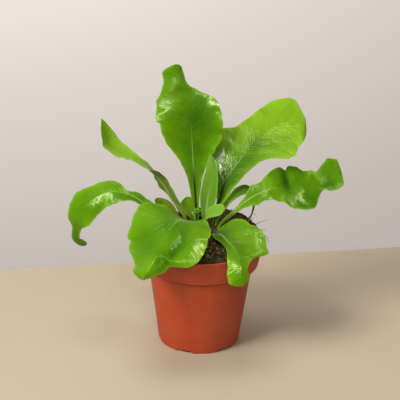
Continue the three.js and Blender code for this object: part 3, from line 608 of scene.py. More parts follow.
            (3, 4, 106, 0, 2.2, 2.2, 0.5, 0.5),
            (4.8, 6, 123, 0, 6, 7, 3, 3),
            (6.8, 8, 138, 0, 6.3, 7, 3, 3.5),
            (7.8, 10, 152, 0, 4.5, 4.8, 1, 3),
            (6.4, 11, 163, 0, 2, 2, 0, 1),
        ],
    },
    "frondSmallBack": {
        "node": "frond_small_back", "look": "paleTop", "slot": "young_leaf", "heading": 120, "waves": 1,
        "ruffle": 0.4, "roundTip": 0.3, "rows": 90, "tone": (0.7, 1.0, 1.0), "frill": 0.15, "seed": 43,
        "stations": [
            (-7, 12, 94, 0, 1.6, 1.6, 0, 0),
            (-8, 14, 104, 0, 2.2, 2.2, 0.5, 0.5),
            (-11, 16.5, 112, 0, 8.5, 6.5, 1, 1),
            (-13, 18, 121, 0, 8, 6, 1, 1),
        ],
    },
    "frondSmallBrown": {
        "node": "frond_small_brown", "look": "oldTop", "slot": "old_leaf", "heading": 160, "waves": 1,
        "ruffle": 0.4, "roundTip": 0.3, "rows": 90, "tone": (0.2, 0.35, 0.2), "frill": 0.2, "seed": 47,
        "stations": [
            (-15, 6, 94, 0, 1.4, 1.4, 0, 0),
            (-18, 9, 102, 10, 2, 2, 0.3, 0.3),
            (-28, 15, 110.5, 20, 6.5, 6.5, 0.5, 0.5),
            (-39, 19, 118, 20, 6.5, 6.5, 0, 0),
        ],
    },
    "frondSmallFront": {
        "node": "frond_small_front", "look": "youngTop", "slot": "young_leaf", "heading": 345, "waves": 1.6,
        "ruffle": 0.8, "phases": (0.1, 0.2), "roundTip": 0.15, "rows": 100, "tone": (0.3, 0.6, 0.7),
        "frill": 0.2, "seed": 53,
        "stations": [
            (3, -3, 94, 0, 1.5, 1.5, 0, 0),
            (2, -4, 106, 0, 2, 2, 0.3, 0.3),
            (5, -5, 116, -20, 4, 7, 1, 0),
            (12, -7, 121, -30, 4, 8, 1, 0),
            (19, -9, 124, -30, 3, 6, 1, 0),
        ],
    },
}
blade = {
    "half": 0.3, "edgeHalf": 0.17,  # half the thickness beside the midrib and at the margin
    "edgeRound": 0.34,  # how far from the margin it thins out
    "ribDrop": 0.9, "ribSpread": 0.8,  # the midrib below the blade
    "ridge": 0.06, "ridgeSpread": 0.35,  # the fine ridge above it
    "ribEnd": 0.6, "ribFade": 0.25,  # shares of the length that show a midrib
    "stemHalf": 0.45, "stemRise": 0.7,
    "corrugation": 0.035, "foldSpacing": 3.4, "slant": 0.85,  # soft folds between the side veins
    "wander": 0.018, "wanderLength": 7.0,  # unevenness of the margins
    "scallop": 0.3, "scallopLength": 3.1, "frillLength": 5.5,
    "leastHalf": 0.8, "leastTip": 0.06,
    "rowBunching": 1.15,  # rows close up towards the tip
    "innerOffsets": (0.0, 0.22, 0.45, 0.75, 1.15, 1.7), "innerLeast": 3.4,
    "edgeOffsets": (0.34, 0.1, 0.0), "edgeLeast": 2.5,
    "outerColumns": 15,
    "paleSide": 0.25, "marginReach": 0.8,
}


def unit(vectors):
    return vectors / np.linalg.norm(vectors, axis=-1, keepdims=True)


# The smooth line through a frond's stations, with its direction
def smoothLine(stations, shares):
    rows = np.array(stations, float)
    last = len(rows) - 1
    along = np.clip(shares, 0, 1) * last
    index = np.minimum(along.astype(int), last - 1)
    part = (along - index)[:, None]
    p1 = rows[index]
    p2 = rows[index + 1]
    p0 = np.where((index > 0)[:, None], rows[np.maximum(index - 1, 0)], 2 * p1 - p2)
    p3 = np.where((index < last - 1)[:, None], rows[np.minimum(index + 2, last)], 2 * p2 - p1)
    square = 2 * p0 - 5 * p1 + 4 * p2 - p3
    cube = 3 * p1 - p0 - 3 * p2 + p3
    value = 0.5 * (2 * p1 + (p2 - p0) * part + square * part * part + cube * part ** 3)
    slope = 0.5 * (p2 - p0 + 2 * square * part + 3 * cube * part * part)
    return value, unit(slope[:, :3])


# A smooth random line from -1 to 1, the same at every run
def swayLine(places, seed):
    flat = [noise.noise(Vector((place, seed * 3.17, 0.5))) for place in np.ravel(places)]
    return np.reshape(np.array(flat) * 1.6, np.shape(places))


# The sum of soft round spots at places on the blade
def addSpots(spots, along, across):
    total = np.zeros(np.broadcast(along, across).shape)
    for at, beside, amount, reachAlong, reachAcross in spots:
        total += amount * np.exp(-((along - at) / reachAlong) ** 2 - ((across - beside) / reachAcross) ** 2)
    return total


# The two half widths along a frond: uneven, closed at the tip, and with its nicks and lobes
def frondWidths(frond, shares, value, lengths):
    end = np.clip((shares - (1 - frond["roundTip"])) / frond["roundTip"], 0, 1)
    closing = np.maximum(np.sqrt(1 - end ** 2), blade["leastTip"])
    widths = [np.maximum(value[:, column], blade["leastHalf"]) * closing for column in (4, 5)]
    for side in (0, 1):
        wander = swayLine(lengths / blade["wanderLength"], frond["seed"] + side)
        scallops = swayLine(lengths / blade["scallopLength"], frond["seed"] + 20 + side)
        widths[side] = widths[side] * (1 + blade["wander"] * wander * np.clip(widths[side] / 10, 0, 1))
        widths[side] = widths[side] + blade["scallop"] * scallops * np.clip(widths[side] / 12, 0, 1)
    for sign, at, depth, before, after in frond["nicks"]:
        side = 0 if sign < 0 else 1
        bite = depth * np.exp(-((shares - at) / np.where(shares < at, before, after)) ** 2)
        widths[side] = np.maximum(widths[side] - bite, blade["leastHalf"] * closing)
    return widths


# Where the columns of points stand across a blade, from -1 on the left margin to 1 on the right one
def columnPlaces(widths):
    sides = []
    for width in widths:
        inner = [offset / np.maximum(width, blade["innerLeast"]) for offset in blade["innerOffsets"]]
        edge = [1 - offset / np.maximum(width, blade["edgeLeast"]) for offset in blade["edgeOffsets"]]
        steps = [step / blade["outerColumns"] for step in range(1, blade["outerColumns"])]
        sides.append(inner + [inner[-1] + (edge[0] - inner[-1]) * step for step in steps] + edge)
    return np.stack([-column for column in sides[0][::-1]] + sides[1][1:], axis=1)


# How far a blade stands off its plane: lift, waves, frill, swells and the soft folds between the veins
def bladeRise(frond, share, length, lift, places, width, widest):
    onLeft = places < 0
    reach = np.abs(places)
    distance = reach * width
    swing = np.sin(2 * math.pi * (frond["waves"] * share + np.where(onLeft, *frond["phases"])))
    rise = lift * reach ** 1.6 + frond["ruffle"] * np.minimum(width / widest, 1) * reach ** 2 * swing
    calm = np.clip(length / 30, 0, 1) * np.clip(width / 8, 0, 1)
    frillPlaces = length / blade["frillLength"] + np.where(onLeft, 40.0, 0.0)
    rise += frond["frill"] * calm * reach ** 4 * 1.6 * swayLine(frillPlaces, frond["seed"] + 5)
    rise += addSpots(frond["swells"], share, places)
    folds = (length - blade["slant"] * distance) / blade["foldSpacing"] + np.where(onLeft, 90.0, 0.0)
    depth = blade["corrugation"] * calm * np.clip(distance / 3, 0, 1)
    depth = depth * np.clip((width - distance) / 2 + 0.35, 0, 1)
    return rise + depth * swayLine(folds, frond["seed"] + 9)


# How thick a blade is above and below its middle sheet. It turns to a round stem at the foot.
def bladeHalves(share, places, width, narrow):
    reach = np.abs(places)
    distance = reach * width
    stem = np.clip((4 - narrow) / 2.2, 0, 1) * np.clip(1 - 1.6 * share, 0, 1)
    ribDepth = blade["ribDrop"] * (1 - 0.7 * share) * np.minimum(1, narrow / 1.5)
    stemRound = np.sqrt(np.clip(1 - reach ** 2, 0, 1))
    fromEdge = np.clip(width - distance, 0, None)
    rounding = np.sqrt(np.clip(1 - np.clip(1 - fromEdge / blade["edgeRound"], 0, 1) ** 2, 0, 1))
    half = (blade["half"] + (blade["edgeHalf"] - blade["half"]) * reach) * rounding
    half = np.minimum(half, 0.35 * width + 0.02)
    ridge = blade["ridge"] * (1 - 0.6 * share) * np.exp(-(distance / blade["ridgeSpread"]) ** 2)
    top = half + ridge * np.minimum(1, narrow / 3) * (1 - stem)
    top = top * (1 - stem) + stem * (blade["stemHalf"] + blade["stemRise"]) * stemRound
    under = half + ribDepth * np.exp(-(distance / blade["ribSpread"]) ** 2)
    under = under * (1 - stem) + stem * (blade["stemHalf"] + ribDepth) * stemRound
    return top, under, np.exp(-fromEdge / blade["marginReach"])


def frondGrid(frond):
    shares = 1 - (1 - np.linspace(0, 1, frond["rows"] + 1)) ** blade["rowBunching"]
    value, direction = smoothLine(frond["stations"], shares)
    heading = math.radians(frond["heading"])
    level = np.array([math.sin(heading), -math.cos(heading), 0.0])
    across = unit(level - (direction @ level)[:, None] * direction)
    upward = np.cross(across, direction)
    roll = np.radians(value[:, 3])[:, None]
    turnedAcross = across * np.cos(roll) + upward * np.sin(roll)
    turnedUpward = upward * np.cos(roll) - across * np.sin(roll)
    lengths = np.concatenate([[0], np.cumsum(np.linalg.norm(np.diff(value[:, :3], axis=0), axis=1))])
    widths = frondWidths(frond, shares, value, lengths)
    places = columnPlaces(widths)
    share = shares[:, None]
    length = lengths[:, None]
    width = np.where(places < 0, widths[0][:, None], widths[1][:, None])
    lift = np.where(places < 0, value[:, 6:7], value[:, 7:8])
    widest = max(max(station[4], station[5]) for station in frond["stations"])
    rise = bladeRise(frond, share, length, lift, places, width, widest)
    top, under, margin = bladeHalves(share, places, width, np.minimum(*widths)[:, None])
    middle = value[:, None, :3] + turnedAcross[:, None, :] * (places * width)[:, :, None]
    topSheet = middle + turnedUpward[:, None, :] * (rise + top)[:, :, None]
    underSheet = middle + turnedUpward[:, None, :] * (rise - under)[:, :, None]
    whole = np.ones_like(places)
    ribShow = np.clip((blade["ribEnd"] - share) / blade["ribFade"], 0, 1) * whole
    marks = {"sideways": places * width, "along": length * whole, "margin": margin, "ribShow": ribShow}
    return topSheet, underSheet, marks, share


# Gives a leaf the lengths and shades that its finish reads, one or one for each point
def markLeaf(mesh, sideways, along, shades):
    corner = np.zeros(len(mesh.loops), int)
    mesh.loops.foreach_get("vertex_index", corner)
    flat = np.stack([np.ravel(sideways) / 100 + 0.5, np.ravel(along) / 100], axis=1)
    mesh.uv_layers.new(name="bladeSize").data.foreach_set("uv", flat[corner].ravel())
    for label, values in shades.items():
        attribute = mesh.attributes.new(label, "FLOAT", "POINT")
        spread = np.broadcast_to(np.ravel(values), len(mesh.vertices))
        attribute.data.foreach_set("value", spread.astype(np.float32))


# One closed ring for each row: over the upper sheet and back under the lower one
def closeRings(top, under):
    return np.concatenate([top, under[:, -2:0:-1]], axis=1)


def makeFrond(name, frond):
    topSheet, underSheet, marks, share = frondGrid(frond)
    rowCount, columnCount = topSheet.shape[:2]
    rings = closeRings(topSheet, underSheet)
    margins = [0, columnCount - 1]
    rings[:, margins] = (topSheet[:, margins] + underSheet[:, margins]) / 2
    size = rings.shape[1]
    faces = []
    for row in range(rowCount - 1):
        faces += ringFaces(row * size, (row + 1) * size, size)
    faceSlots = [0 if place < columnCount - 1 else 1 for place in range(size)] * (rowCount - 1)
    # flat ends
    for start, order in ((0, -1), ((rowCount - 1) * size, 1)):
        for place in range(columnCount - 1):
            facing = [size - place - 1, (size - place) % size]
            corners = [start + point for point in (place, place + 1, *facing)]
            if place == 0:
                corners.pop(3)
            elif place == columnCount - 2:
                corners.pop(2)
            faces.append(tuple(corners[::order]))
            faceSlots.append(0)
    underLook = "leafUnder" if frond["slot"] == "leaf" else frond["look"]
    materials = [leafMaterials[frond["look"]], leafMaterials[underLook]]
    piece = makeObject(name, rings.reshape(-1, 3) * mm, faces, materials, faceSlots)
    marks = {label: closeRings(values, values) for label, values in marks.items()}
    sideways = marks.pop("sideways")
    widest = np.abs(sideways).max(axis=1, keepdims=True)
    outer = np.clip(np.abs(sideways) / np.maximum(widest, 6), 0, 1)
    across = sideways / np.maximum(widest, 2)
    # the tone holds the frond's greens and painted shade: its spots darken the folds and where the blade
    # turns from the light
    tone = np.interp(share, (0, 0.5, 1), frond["tone"]) + blade["paleSide"] * (outer ** 2 - 0.35)
    markLeaf(piece.data, sideways, marks.pop("along"), {
        **marks,
        "tone": tone + addSpots(frond["toneAndShadeSpots"], share, across),
        "gloss": frond["gloss"] + addSpots(frond["glossSpots"], share, across),
        "brownRib": frond["brownRib"],
    })
    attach(piece, "root")
    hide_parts(frond["node"])


for name, frond in fronds.items():
    makeFrond(name, {**plainFrond, **frond})
print("fronds made:", len(fronds))

# Pot, in millimetres: a thin turned wall with a tall overhanging rim, drain holes and foot notches

pot = {
    "topRadius": 52.5, "height": 92, "rimHeight": 21, "rimLowRadius": 48.6, "bodyTopRadius": 43.8,
    "footRadius": 34, "wall": 1.2, "floorTop": 3.2, "floorUnder": 2.0, "centrePad": 10, "footRing": 4.4,
    "edgeRound": 0.6,
    "sides": 180, "drainCount": 6, "drainAngle": 39, "drainRadius": 4, "drainFromAxis": 22,
    "notchWidth": 13, "notchHeight": 2.2, "sharpAngle": 38,
    "bodyRings": (1.5, 2.6, 3.4, 6, 12, 20, 30, 40, 50, 60, 66, 69, 70.2), "bodyRingsInside": (60, 40, 20, 6),
    "rimRings": (2, 5, 9, 13, 17, 19.5), "rimRingsInside": (19, 14, 8, 3),
    "colour": (0.43, 0.050, 0.010), "pale": (0.475, 0.066, 0.016), "shade": (0.38, 0.042, 0.008),
    # "line" is a painted shade colour, the dark band under the rim's overhang; lineTop and lineHeight place
    # it
    "line": (0.10, 0.016, 0.006), "lineTop": 71.5, "lineHeight": 3.4,
}


def potMaterial():
    material, tree, surface = newMaterial("terracottaPlastic")
    patches = addPatches(tree, 0.03, 0.0006)
    place = objectPlace(tree)
    stretched = addNode(tree, "ShaderNodeMapping", {"Vector": place, "Scale": (1.0, 1.0, 0.12)}).outputs[0]
    flow = noiseNode(tree, stretched, 160.0)
    base = mixColour(tree, patches["Patches"], pot["colour"], pot["pale"])
    marked = mathNode(tree, "MULTIPLY", remap(tree, flow, 0.35, 0.75), 0.25)
    flowed = mixColour(tree, marked, base, pot["shade"])
    # painted shade: a dark band in the crease under the overhanging rim
    height = splitVector(tree, place)[2]
    low = (pot["lineTop"] - pot["lineHeight"]) * mm
    above = remap(tree, height, low - 0.6 * mm, low + 0.2 * mm)
    below = mathNode(tree, "LESS_THAN", height, pot["lineTop"] * mm)
    flat = vectorNode(tree, "MULTIPLY", {0: place, 1: (1, 1, 0)})[0]
    radius = vectorNode(tree, "LENGTH", {0: flat})["Value"]
    inside = mathNode(tree, "LESS_THAN", radius, (pot["bodyTopRadius"] + 1.5) * mm)
    paintedRimShade = mathNode(tree, "MULTIPLY", mathNode(tree, "MULTIPLY", above, below), inside)
    lined = mixColour(tree, mathNode(tree, "MULTIPLY", paintedRimShade, 0.8), flowed, pot["line"])
    feed(surface, {"Base Color": lined, "Roughness": remap(tree, patches["Grain"], 0.25, 0.75, 0.46, 0.60)})
    addBump(tree, surface, mathNode(tree, "MULTIPLY_ADD", flow, 0.5, patches["Grain"]), 0.00003)
    return material


def arc(centreRadius, centreHeight, radius, start, finish, count):
    for step in range(count + 1):
        angle = math.radians(start + (finish - start) * step / count)
        yield (centreRadius + radius * math.cos(angle), centreHeight + radius * math.sin(angle))


# Radius and height along the wall, from the axis underneath, up the outside and down the inside
def potProfile():
    top = pot["topRadius"]
    rimLow = pot["rimLowRadius"]
    body = pot["bodyTopRadius"]
    foot = pot["footRadius"]
    wall = pot["wall"]
    pad = pot["centrePad"]
    under = pot["floorUnder"]
    floor = pot["floorTop"]
    edge = pot["edgeRound"]
    lip = wall / 2
    inner = foot - pot["footRing"]
    rimFoot = pot["height"] - pot["rimHeight"]
    slope = (top - rimLow) / pot["rimHeight"]
    bodySlope = (body - foot) / rimFoot
    return [
        (0, 0), (pad - 0.3, 0), (pad + 0.1, 0.2), (pad + 0.6, under),
        (inner - 0.6, under), (inner - 0.3, 0.3), (inner + 0.1, 0),
        *arc(foot - edge, edge, edge, -90, 0, 4),
        *((foot + bodySlope * height, height) for height in pot["bodyRings"]),
        (body, rimFoot - 0.35), (body + 0.15, rimFoot - 0.05), (body + 0.5, rimFoot),
        *arc(rimLow - 0.55, rimFoot + edge, edge, -90, -8, 5),
        *((rimLow + slope * height, rimFoot + height) for height in pot["rimRings"]),
        *arc(top - lip - 0.05, pot["height"] - lip, lip, 5, 175, 8),
        *((rimLow - wall + slope * height, rimFoot + height) for height in pot["rimRingsInside"]),
        (rimLow - wall, rimFoot + wall), (body - wall + 0.2, rimFoot + wall), (body - wall, rimFoot + 0.8),
        *((foot - wall + bodySlope * height, height) for height in pot["bodyRingsInside"]),
        (foot - wall + 0.2, floor + 0.5), (foot - wall - 0.4, floor), (0, floor),
    ]


# A profile turned round the axis, closed with one point where it touches the axis
def turnedMesh(name, profile, sides, material):
    points = []
    faces = []
    rows = []
    for radius, height in profile:
        if radius == 0:
            rows.append([len(points)] * sides)
            points.append((0, 0, height * mm))
            continue
        rows.append(list(range(len(points), len(points) + sides)))
        points += ringPoints(radius, height, sides)
    for lower, upper in zip(rows, rows[1:]):
        for side in range(sides):
            after = (side + 1) % sides
            corners = [lower[side], lower[after], upper[after], upper[side]]
            faces.append([corner for index, corner in enumerate(corners) if corner != corners[index - 1]])
    return makeObject(name, points, faces, [material])


# A geometry node tree with named inputs, which takes a mesh and a material and gives a mesh
def newTree(name, inputs):
    tree = bpy.data.node_groups.new(name, "GeometryNodeTree")
    tree.interface.new_socket(name="Geometry", in_out="INPUT", socket_type="NodeSocketGeometry")
    tree.interface.new_socket(name="Geometry", in_out="OUTPUT", socket_type="NodeSocketGeometry")
    for label, start in inputs.items():
        kind = "NodeSocketInt" if isinstance(start, int) else "NodeSocketFloat"
        tree.interface.new_socket(name=label, in_out="INPUT", socket_type=kind).default_value = start
    tree.interface.new_socket(name="Material", in_out="INPUT", socket_type="NodeSocketMaterial")
    return tree, addNode(tree, "NodeGroupInput").outputs, addNode(tree, "NodeGroupOutput")


# Every tree ends with its instances made real and its material set
def finishTree(tree, given, leave, geometry):
    whole = addNode(tree, "GeometryNodeRealizeInstances", {0: geometry})
    painted = addNode(tree, "GeometryNodeSetMaterial", {0: whole.outputs[0], "Material": given["Material"]})
    feed(leave, {"Geometry": painted.outputs[0]})
    return tree


# Runs a tree on a carrier object and leaves its result there as a plain mesh
def growMesh(carrier, tree, values):
    modifier = carrier.modifiers.new("grow", "NODES")
    modifier.node_group = tree
    for item in tree.interface.items_tree:
        if item.in_out == "INPUT" and item.name in values:
            modifier[item.identifier] = values[item.name]
    graph = bpy.context.evaluated_depsgraph_get()
    graph.update()
    source = carrier.evaluated_get(graph)
    grown = bpy.data.meshes.new_from_object(source, preserve_all_data_layers=True, depsgraph=graph)
    carrier.modifiers.remove(modifier)
    carrier.data = grown


def buildDrainCutter():
    tree, given, leave = newTree("drainCutter", {
        "Count": 6, "Hole Distance": 0.022, "Hole Radius": 0.004, "Notch Distance": 0.034,
        "Notch Length": 0.0132, "Notch Width": 0.015, "Notch Height": 0.0022, "First Angle": 0.0,
    })
    shape = {"Vertices": 40, "Radius": given["Hole Radius"], "Depth": 0.02}
    hole = addNode(tree, "GeometryNodeMeshCylinder", shape)
    height = mathNode(tree, "MULTIPLY", given["Notch Height"], 2.0)
    sizes = {0: given["Notch Length"], 1: given["Notch Width"], 2: height}
    box = addNode(tree, "ShaderNodeCombineXYZ", sizes)
    notch = addNode(tree, "GeometryNodeMeshCube", {"Size": box.outputs[0]})
    turn = addNode(tree, "ShaderNodeCombineXYZ", {2: given["First Angle"]})
    cut = addNode(tree, "GeometryNodeMeshBoolean", operation="DIFFERENCE", solver="EXACT")
    feed(cut, {0: given["Geometry"]})
    for cutter, distance in ((hole, given["Hole Distance"]), (notch, given["Notch Distance"])):
        ring = addNode(tree, "GeometryNodeMeshCircle", {"Vertices": given["Count"], "Radius": distance})
        turned = addNode(tree, "GeometryNodeTransform", {0: ring.outputs[0], "Rotation": turn.outputs[0]})
        place = addNode(tree, "GeometryNodeInputPosition").outputs[0]
        outward = addNode(tree, "FunctionNodeAlignRotationToVector", {"Vector": place}, axis="X")
        copies = addNode(tree, "GeometryNodeInstanceOnPoints", {
            "Points": turned.outputs[0], "Instance": cutter.outputs["Mesh"], "Rotation": outward.outputs[0],
        })
        feed(cut, {1: addNode(tree, "GeometryNodeRealizeInstances", {0: copies.outputs[0]}).outputs[0]})
    return finishTree(tree, given, leave, cut.outputs[0])


def makePot():
    material = potMaterial()
    piece = turnedMesh("potBody", potProfile(), pot["sides"], material)
    growMesh(piece, buildDrainCutter(), {
        "Count": pot["drainCount"], "Hole Distance": pot["drainFromAxis"] * mm,
        "Hole Radius": pot["drainRadius"] * mm,
        "Notch Distance": pot["footRadius"] * mm, "Notch Length": 3 * pot["footRing"] * mm,
        "Notch Width": pot["notchWidth"] * mm, "Notch Height": pot["notchHeight"] * mm,
        "First Angle": math.radians(pot["drainAngle"] - 90), "Material": material,
    })
    smoothFaces(piece.data)
    piece.data.set_sharp_from_angle(angle=math.radians(pot["sharpAngle"]))
    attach(piece, "root")
    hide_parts("pot")


makePot()
print("pot made")

# Soil: the mound, its crumbs, chunks and fibres. Sizes are in millimetres, but in metres for the trees.

soil = {
    "radii": (0, 18, 36, 46, 51.0), "levels": (99, 94, 89.2, 88.7, 87.7), "proud": (0, 6.5, 15.8, 10.3, 7.3),
    "proudAngle": 40, "lumps": 0.5, "roughness": 1.1, "sides": 150, "edgeRadius": 51,
    "rings": (49.4, 1.2, 50),  # outermost and innermost ring, and how many
    "wall": ((50.35, 86.0), (48.0, 72.9), (47.1, 72.6), (42.4, 72.5), (42.3, 71.6), (32.5, 3.5)),
    "dark": (0.014, 0.010, 0.004), "brown": (0.085, 0.055, 0.016), "tan": (0.34, 0.25, 0.10),
    "moss": (0.26, 0.27, 0.03), "coir": (0.22, 0.085, 0.040), "coirFrom": 0.018, "coirTo": 0.052,
    "crumbs": {"Density": 420000.0, "Smallest": 0.00045, "Largest": 0.0012, "Seed": 4},
    "chunks": {"Density": 52000.0, "Smallest": 0.0011, "Largest": 0.0026, "Seed": 9},
    "fibres": {"Density": 42000.0, "Length": 0.007, "Thickness": 0.00016, "Seed": 2},
}


# Tone runs from dark over brown and tan to moss. It comes from each crumb, or from the grain on a bed.
def soilMaterial(name, source):
    material, tree, surface = newMaterial(name)
    patches = addPatches(tree, 0.006, 0.0008)
    if source == "piece":
        tone = attributeNode(tree, "tone")
    else:
        tone = remap(tree, patches["Grain"], 0.25, 0.75, 0.0, 0.7)
    ramp = addNode(tree, "ShaderNodeValToRGB", {0: tone})
    stops = ramp.color_ramp.elements
    stops[0].color = (*soil["dark"], 1)
    stops[1].position = 0.55
    stops[1].color = (*soil["brown"], 1)
    for position, colour in ((0.76, "brown"), (0.8, "tan"), (0.88, "tan"), (0.92, "moss")):
        stops.new(position).color = (*soil[colour], 1)
    place = splitVector(tree, objectPlace(tree))
    backRight = mathNode(tree, "ADD", place[0], place[1])
    coir = mathNode(tree, "MULTIPLY", remap(tree, backRight, soil["coirFrom"], soil["coirTo"]), tone)
    tinted = mixColour(tree, coir, ramp.outputs[0], soil["coir"])
    shaded = mixColour(tree, mathNode(tree, "MULTIPLY", patches["Patches"], 0.45), tinted, soil["dark"])
    feed(surface, {"Base Color": shaded, "Roughness": 0.92, "Specular IOR Level": 0.25})
    addBump(tree, surface, patches["Grain"], 0.0006)
    return material


def soilHeight(radius, angle):
    proud = 0.5 + 0.5 * math.cos(angle - math.radians(soil["proudAngle"]))
    radii = soil["radii"]
    heights = [level + rise * proud for level, rise in zip(soil["levels"], soil["proud"])]
    band = 0
    while band < len(radii) - 2 and radius > radii[band + 1]:
        band += 1
    share = min(1, (radius - radii[band]) / (radii[band + 1] - radii[band]))
    eased = share * share * (3 - 2 * share)
    height = heights[band] + (heights[band + 1] - heights[band]) * (0.5 * share + 0.5 * eased)
    x = radius * math.cos(angle)
    y = radius * math.sin(angle)
    lumps = math.sin(x * 0.41 + 1.3) * math.sin(y * 0.37 + 0.4) + math.sin(x * 0.19 - y * 0.23)
    fine = noise.fractal(Vector((x, y, 3.0)) * 0.21, 0.8, 2.1, 4) * soil["roughness"]
    edge = min(1, max(0, (soil["edgeRadius"] - radius) / 2))
    return height + soil["lumps"] * lumps + fine * edge


def soilSurface():
    sides = soil["sides"]
    points = []
    faces = []
    for radius in np.linspace(*soil["rings"]):
        if points:
            faces += ringFaces(len(points) - sides, len(points), sides)
        for side in range(sides):
            angle = 2 * math.pi * side / sides
            height = soilHeight(radius, angle)
            points.append((radius * math.cos(angle) * mm, radius * math.sin(angle) * mm, height * mm))
    points.append((0, 0, soilHeight(0.01, 0) * mm))
    last = len(points) - 1
    faces += [(last - sides + side, last - sides + (side + 1) % sides, last) for side in range(sides)]
    return points, faces


def makeSoilBody(material):
    sides = soil["sides"]
    points, faces = soilSurface()
    above = 0
    for radius, height in soil["wall"]:
        below = len(points)
        points += ringPoints(radius, height, sides)
        for side in range(sides):
            after = (side + 1) % sides
            faces.append((above + side, below + side, below + after, above + after))
        above = below
    points.append((0, 0, soil["wall"][-1][1] * mm))
    faces += [(above + side, len(points) - 1, above + (side + 1) % sides) for side in range(sides)]
    piece = makeObject("soilBody", points, faces, [material])
    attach(piece, "root")
    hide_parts("soil")


# A random number, or a random vector where the limits are vectors, for each copy
def randomNode(tree, given, low, high, kind="FLOAT"):
    first, result = (0, 0) if kind == "FLOAT_VECTOR" else (2, 1)
    inputs = {first: low, first + 1: high, "Seed": given["Seed"]}
    return addNode(tree, "FunctionNodeRandomValue", inputs, data_type=kind).outputs[result]


# Strews copies of a shape over the given mesh. Each has its own turn, scale and tone.
def strewCopies(tree, given, shape, turns, scale, tones=(0.0, 1.0)):
    spread = {"Mesh": given["Geometry"], "Density": given["Density"], "Seed": given["Seed"]}
    spots = addNode(tree, "GeometryNodeDistributePointsOnFaces", spread)
    copies = addNode(tree, "GeometryNodeInstanceOnPoints", {
        "Points": spots.outputs["Points"], "Instance": shape, "Scale": scale,
        "Rotation": randomNode(tree, given, *turns, kind="FLOAT_VECTOR"),
    })
    tone = {"Geometry": copies.outputs[0], "Name": "tone", "Value": randomNode(tree, given, *tones)}
    toned = addNode(tree, "GeometryNodeStoreNamedAttribute", tone, data_type="FLOAT", domain="INSTANCE")
    return toned.outputs[0]


# Makes copies real and moves their points by a noise
def roughen(tree, copies, scale, detail, amount):
    whole = addNode(tree, "GeometryNodeRealizeInstances", {0: copies})
    rough = addNode(tree, "ShaderNodeTexNoise", {"Scale": scale, "Detail": detail})
    centred = vectorNode(tree, "SUBTRACT", {0: rough.outputs["Color"], 1: (0.5, 0.5, 0.5)})[0]
    pushed = vectorNode(tree, "SCALE", {0: centred, "Scale": amount})[0]
    moved = addNode(tree, "GeometryNodeSetPosition", {"Geometry": whole.outputs[0], "Offset": pushed})
    return moved.outputs[0]


# Crumbs: uneven lumps, strewn over a surface
def buildStrewing():
    tree, given, leave = newTree("strewnCrumbs", {
        "Density": 100000.0, "Smallest": 0.0005, "Largest": 0.0015, "Seed": 1, "Uneven": 0.55,
    })
    lump = addNode(tree, "GeometryNodeMeshIcoSphere", {"Radius": 1.0, "Subdivisions": 1}).outputs["Mesh"]
    sizes = randomNode(tree, given, given["Smallest"], given["Largest"], kind="FLOAT_VECTOR")
    copies = strewCopies(tree, given, lump, ((0, 0, 0), (6.28, 6.28, 6.28)), sizes)
    amount = mathNode(tree, "MULTIPLY", given["Uneven"], given["Largest"])
    return finishTree(tree, given, leave, roughen(tree, copies, 900.0, 1.0, amount))


# Fibres: short thin threads that lie on a surface in all directions
def buildFibres():
    tree, given, leave = newTree("looseFibres", {
        "Density": 30000.0, "Length": 0.007, "Thickness": 0.00015, "Seed": 1, "Bend": 0.5,
    })
    end = addNode(tree, "ShaderNodeCombineXYZ", {0: given["Length"]})
    line = addNode(tree, "GeometryNodeCurvePrimitiveLine", {"End": end.outputs[0]})
    thread = addNode(tree, "GeometryNodeResampleCurve", {"Curve": line.outputs[0], "Count": 9}).outputs[0]
    sizes = randomNode(tree, given, 0.35, 1.0)
    copies = strewCopies(tree, given, thread, ((-0.3, -0.45, 0), (0.3, 0.15, 6.28)), sizes, (0.2, 0.94))
    amount = mathNode(tree, "MULTIPLY", given["Bend"], given["Length"])
    bent = roughen(tree, copies, 260.0, 2.0, amount)
    thin = {"Resolution": 5, "Radius": given["Thickness"]}
    outline = addNode(tree, "GeometryNodeCurvePrimitiveCircle", thin)
    tube = addNode(tree, "GeometryNodeCurveToMesh", {
        "Curve": bent, "Profile Curve": outline.outputs[0], "Fill Caps": True,
    })
    return finishTree(tree, given, leave, tube.outputs[0])


def makeSoil():
    bedMaterial = soilMaterial("peatBed", "grain")
    crumbMaterial = soilMaterial("peatCrumbs", "piece")
    makeSoilBody(bedMaterial)
    strewing = buildStrewing()
    points, faces = soilSurface()
    for name, tree, kind in (
        ("soilCrumbs", strewing, "crumbs"),
        ("soilChunks", strewing, "chunks"),
        ("soilFibres", buildFibres(), "fibres"),
    ):
        carrier = makeObject(name, points, faces, [crumbMaterial])
        growMesh(carrier, tree, {**soil[kind], "Material": crumbMaterial})
        smoothFaces(carrier.data)
        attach(carrier, "root")
        print(name, len(carrier.data.polygons), "faces")


makeSoil()
print("soil made")

# Crown: an oval stump with a domed scaly top, in millimetres, and in metres for the tree

crown = {
    "centre": (-0.5, 1.0), "halfLength": 21, "halfDepth": 17.5, "edgeTop": 97, "dome": 6, "waist": 88,
    "bottom": 82, "sides": 120,
    "bark": (0.05, 0.028, 0.014), "scale": (0.16, 0.085, 0.035), "pale": (0.30, 0.19, 0.09),
    "scales": {"Density": 900000.0, "Size": 0.0034, "Seed": 6}, "scalesFrom": 90,
}


def crownMaterial():
    material, tree, surface = newMaterial("crownScales")
    patches = addPatches(tree, 0.004, 0.0005)
    base = mixColour(tree, attributeNode(tree, "tone"), crown["bark"], crown["scale"])
    light = mixColour(tree, mathNode(tree, "MULTIPLY", patches["Patches"], 0.3), base, crown["pale"])
    feed(surface, {"Base Color": light, "Roughness": remap(tree, patches["Grain"], 0.3, 0.7, 0.6, 0.85)})
    addBump(tree, surface, patches["Grain"], 0.0002)
    return material


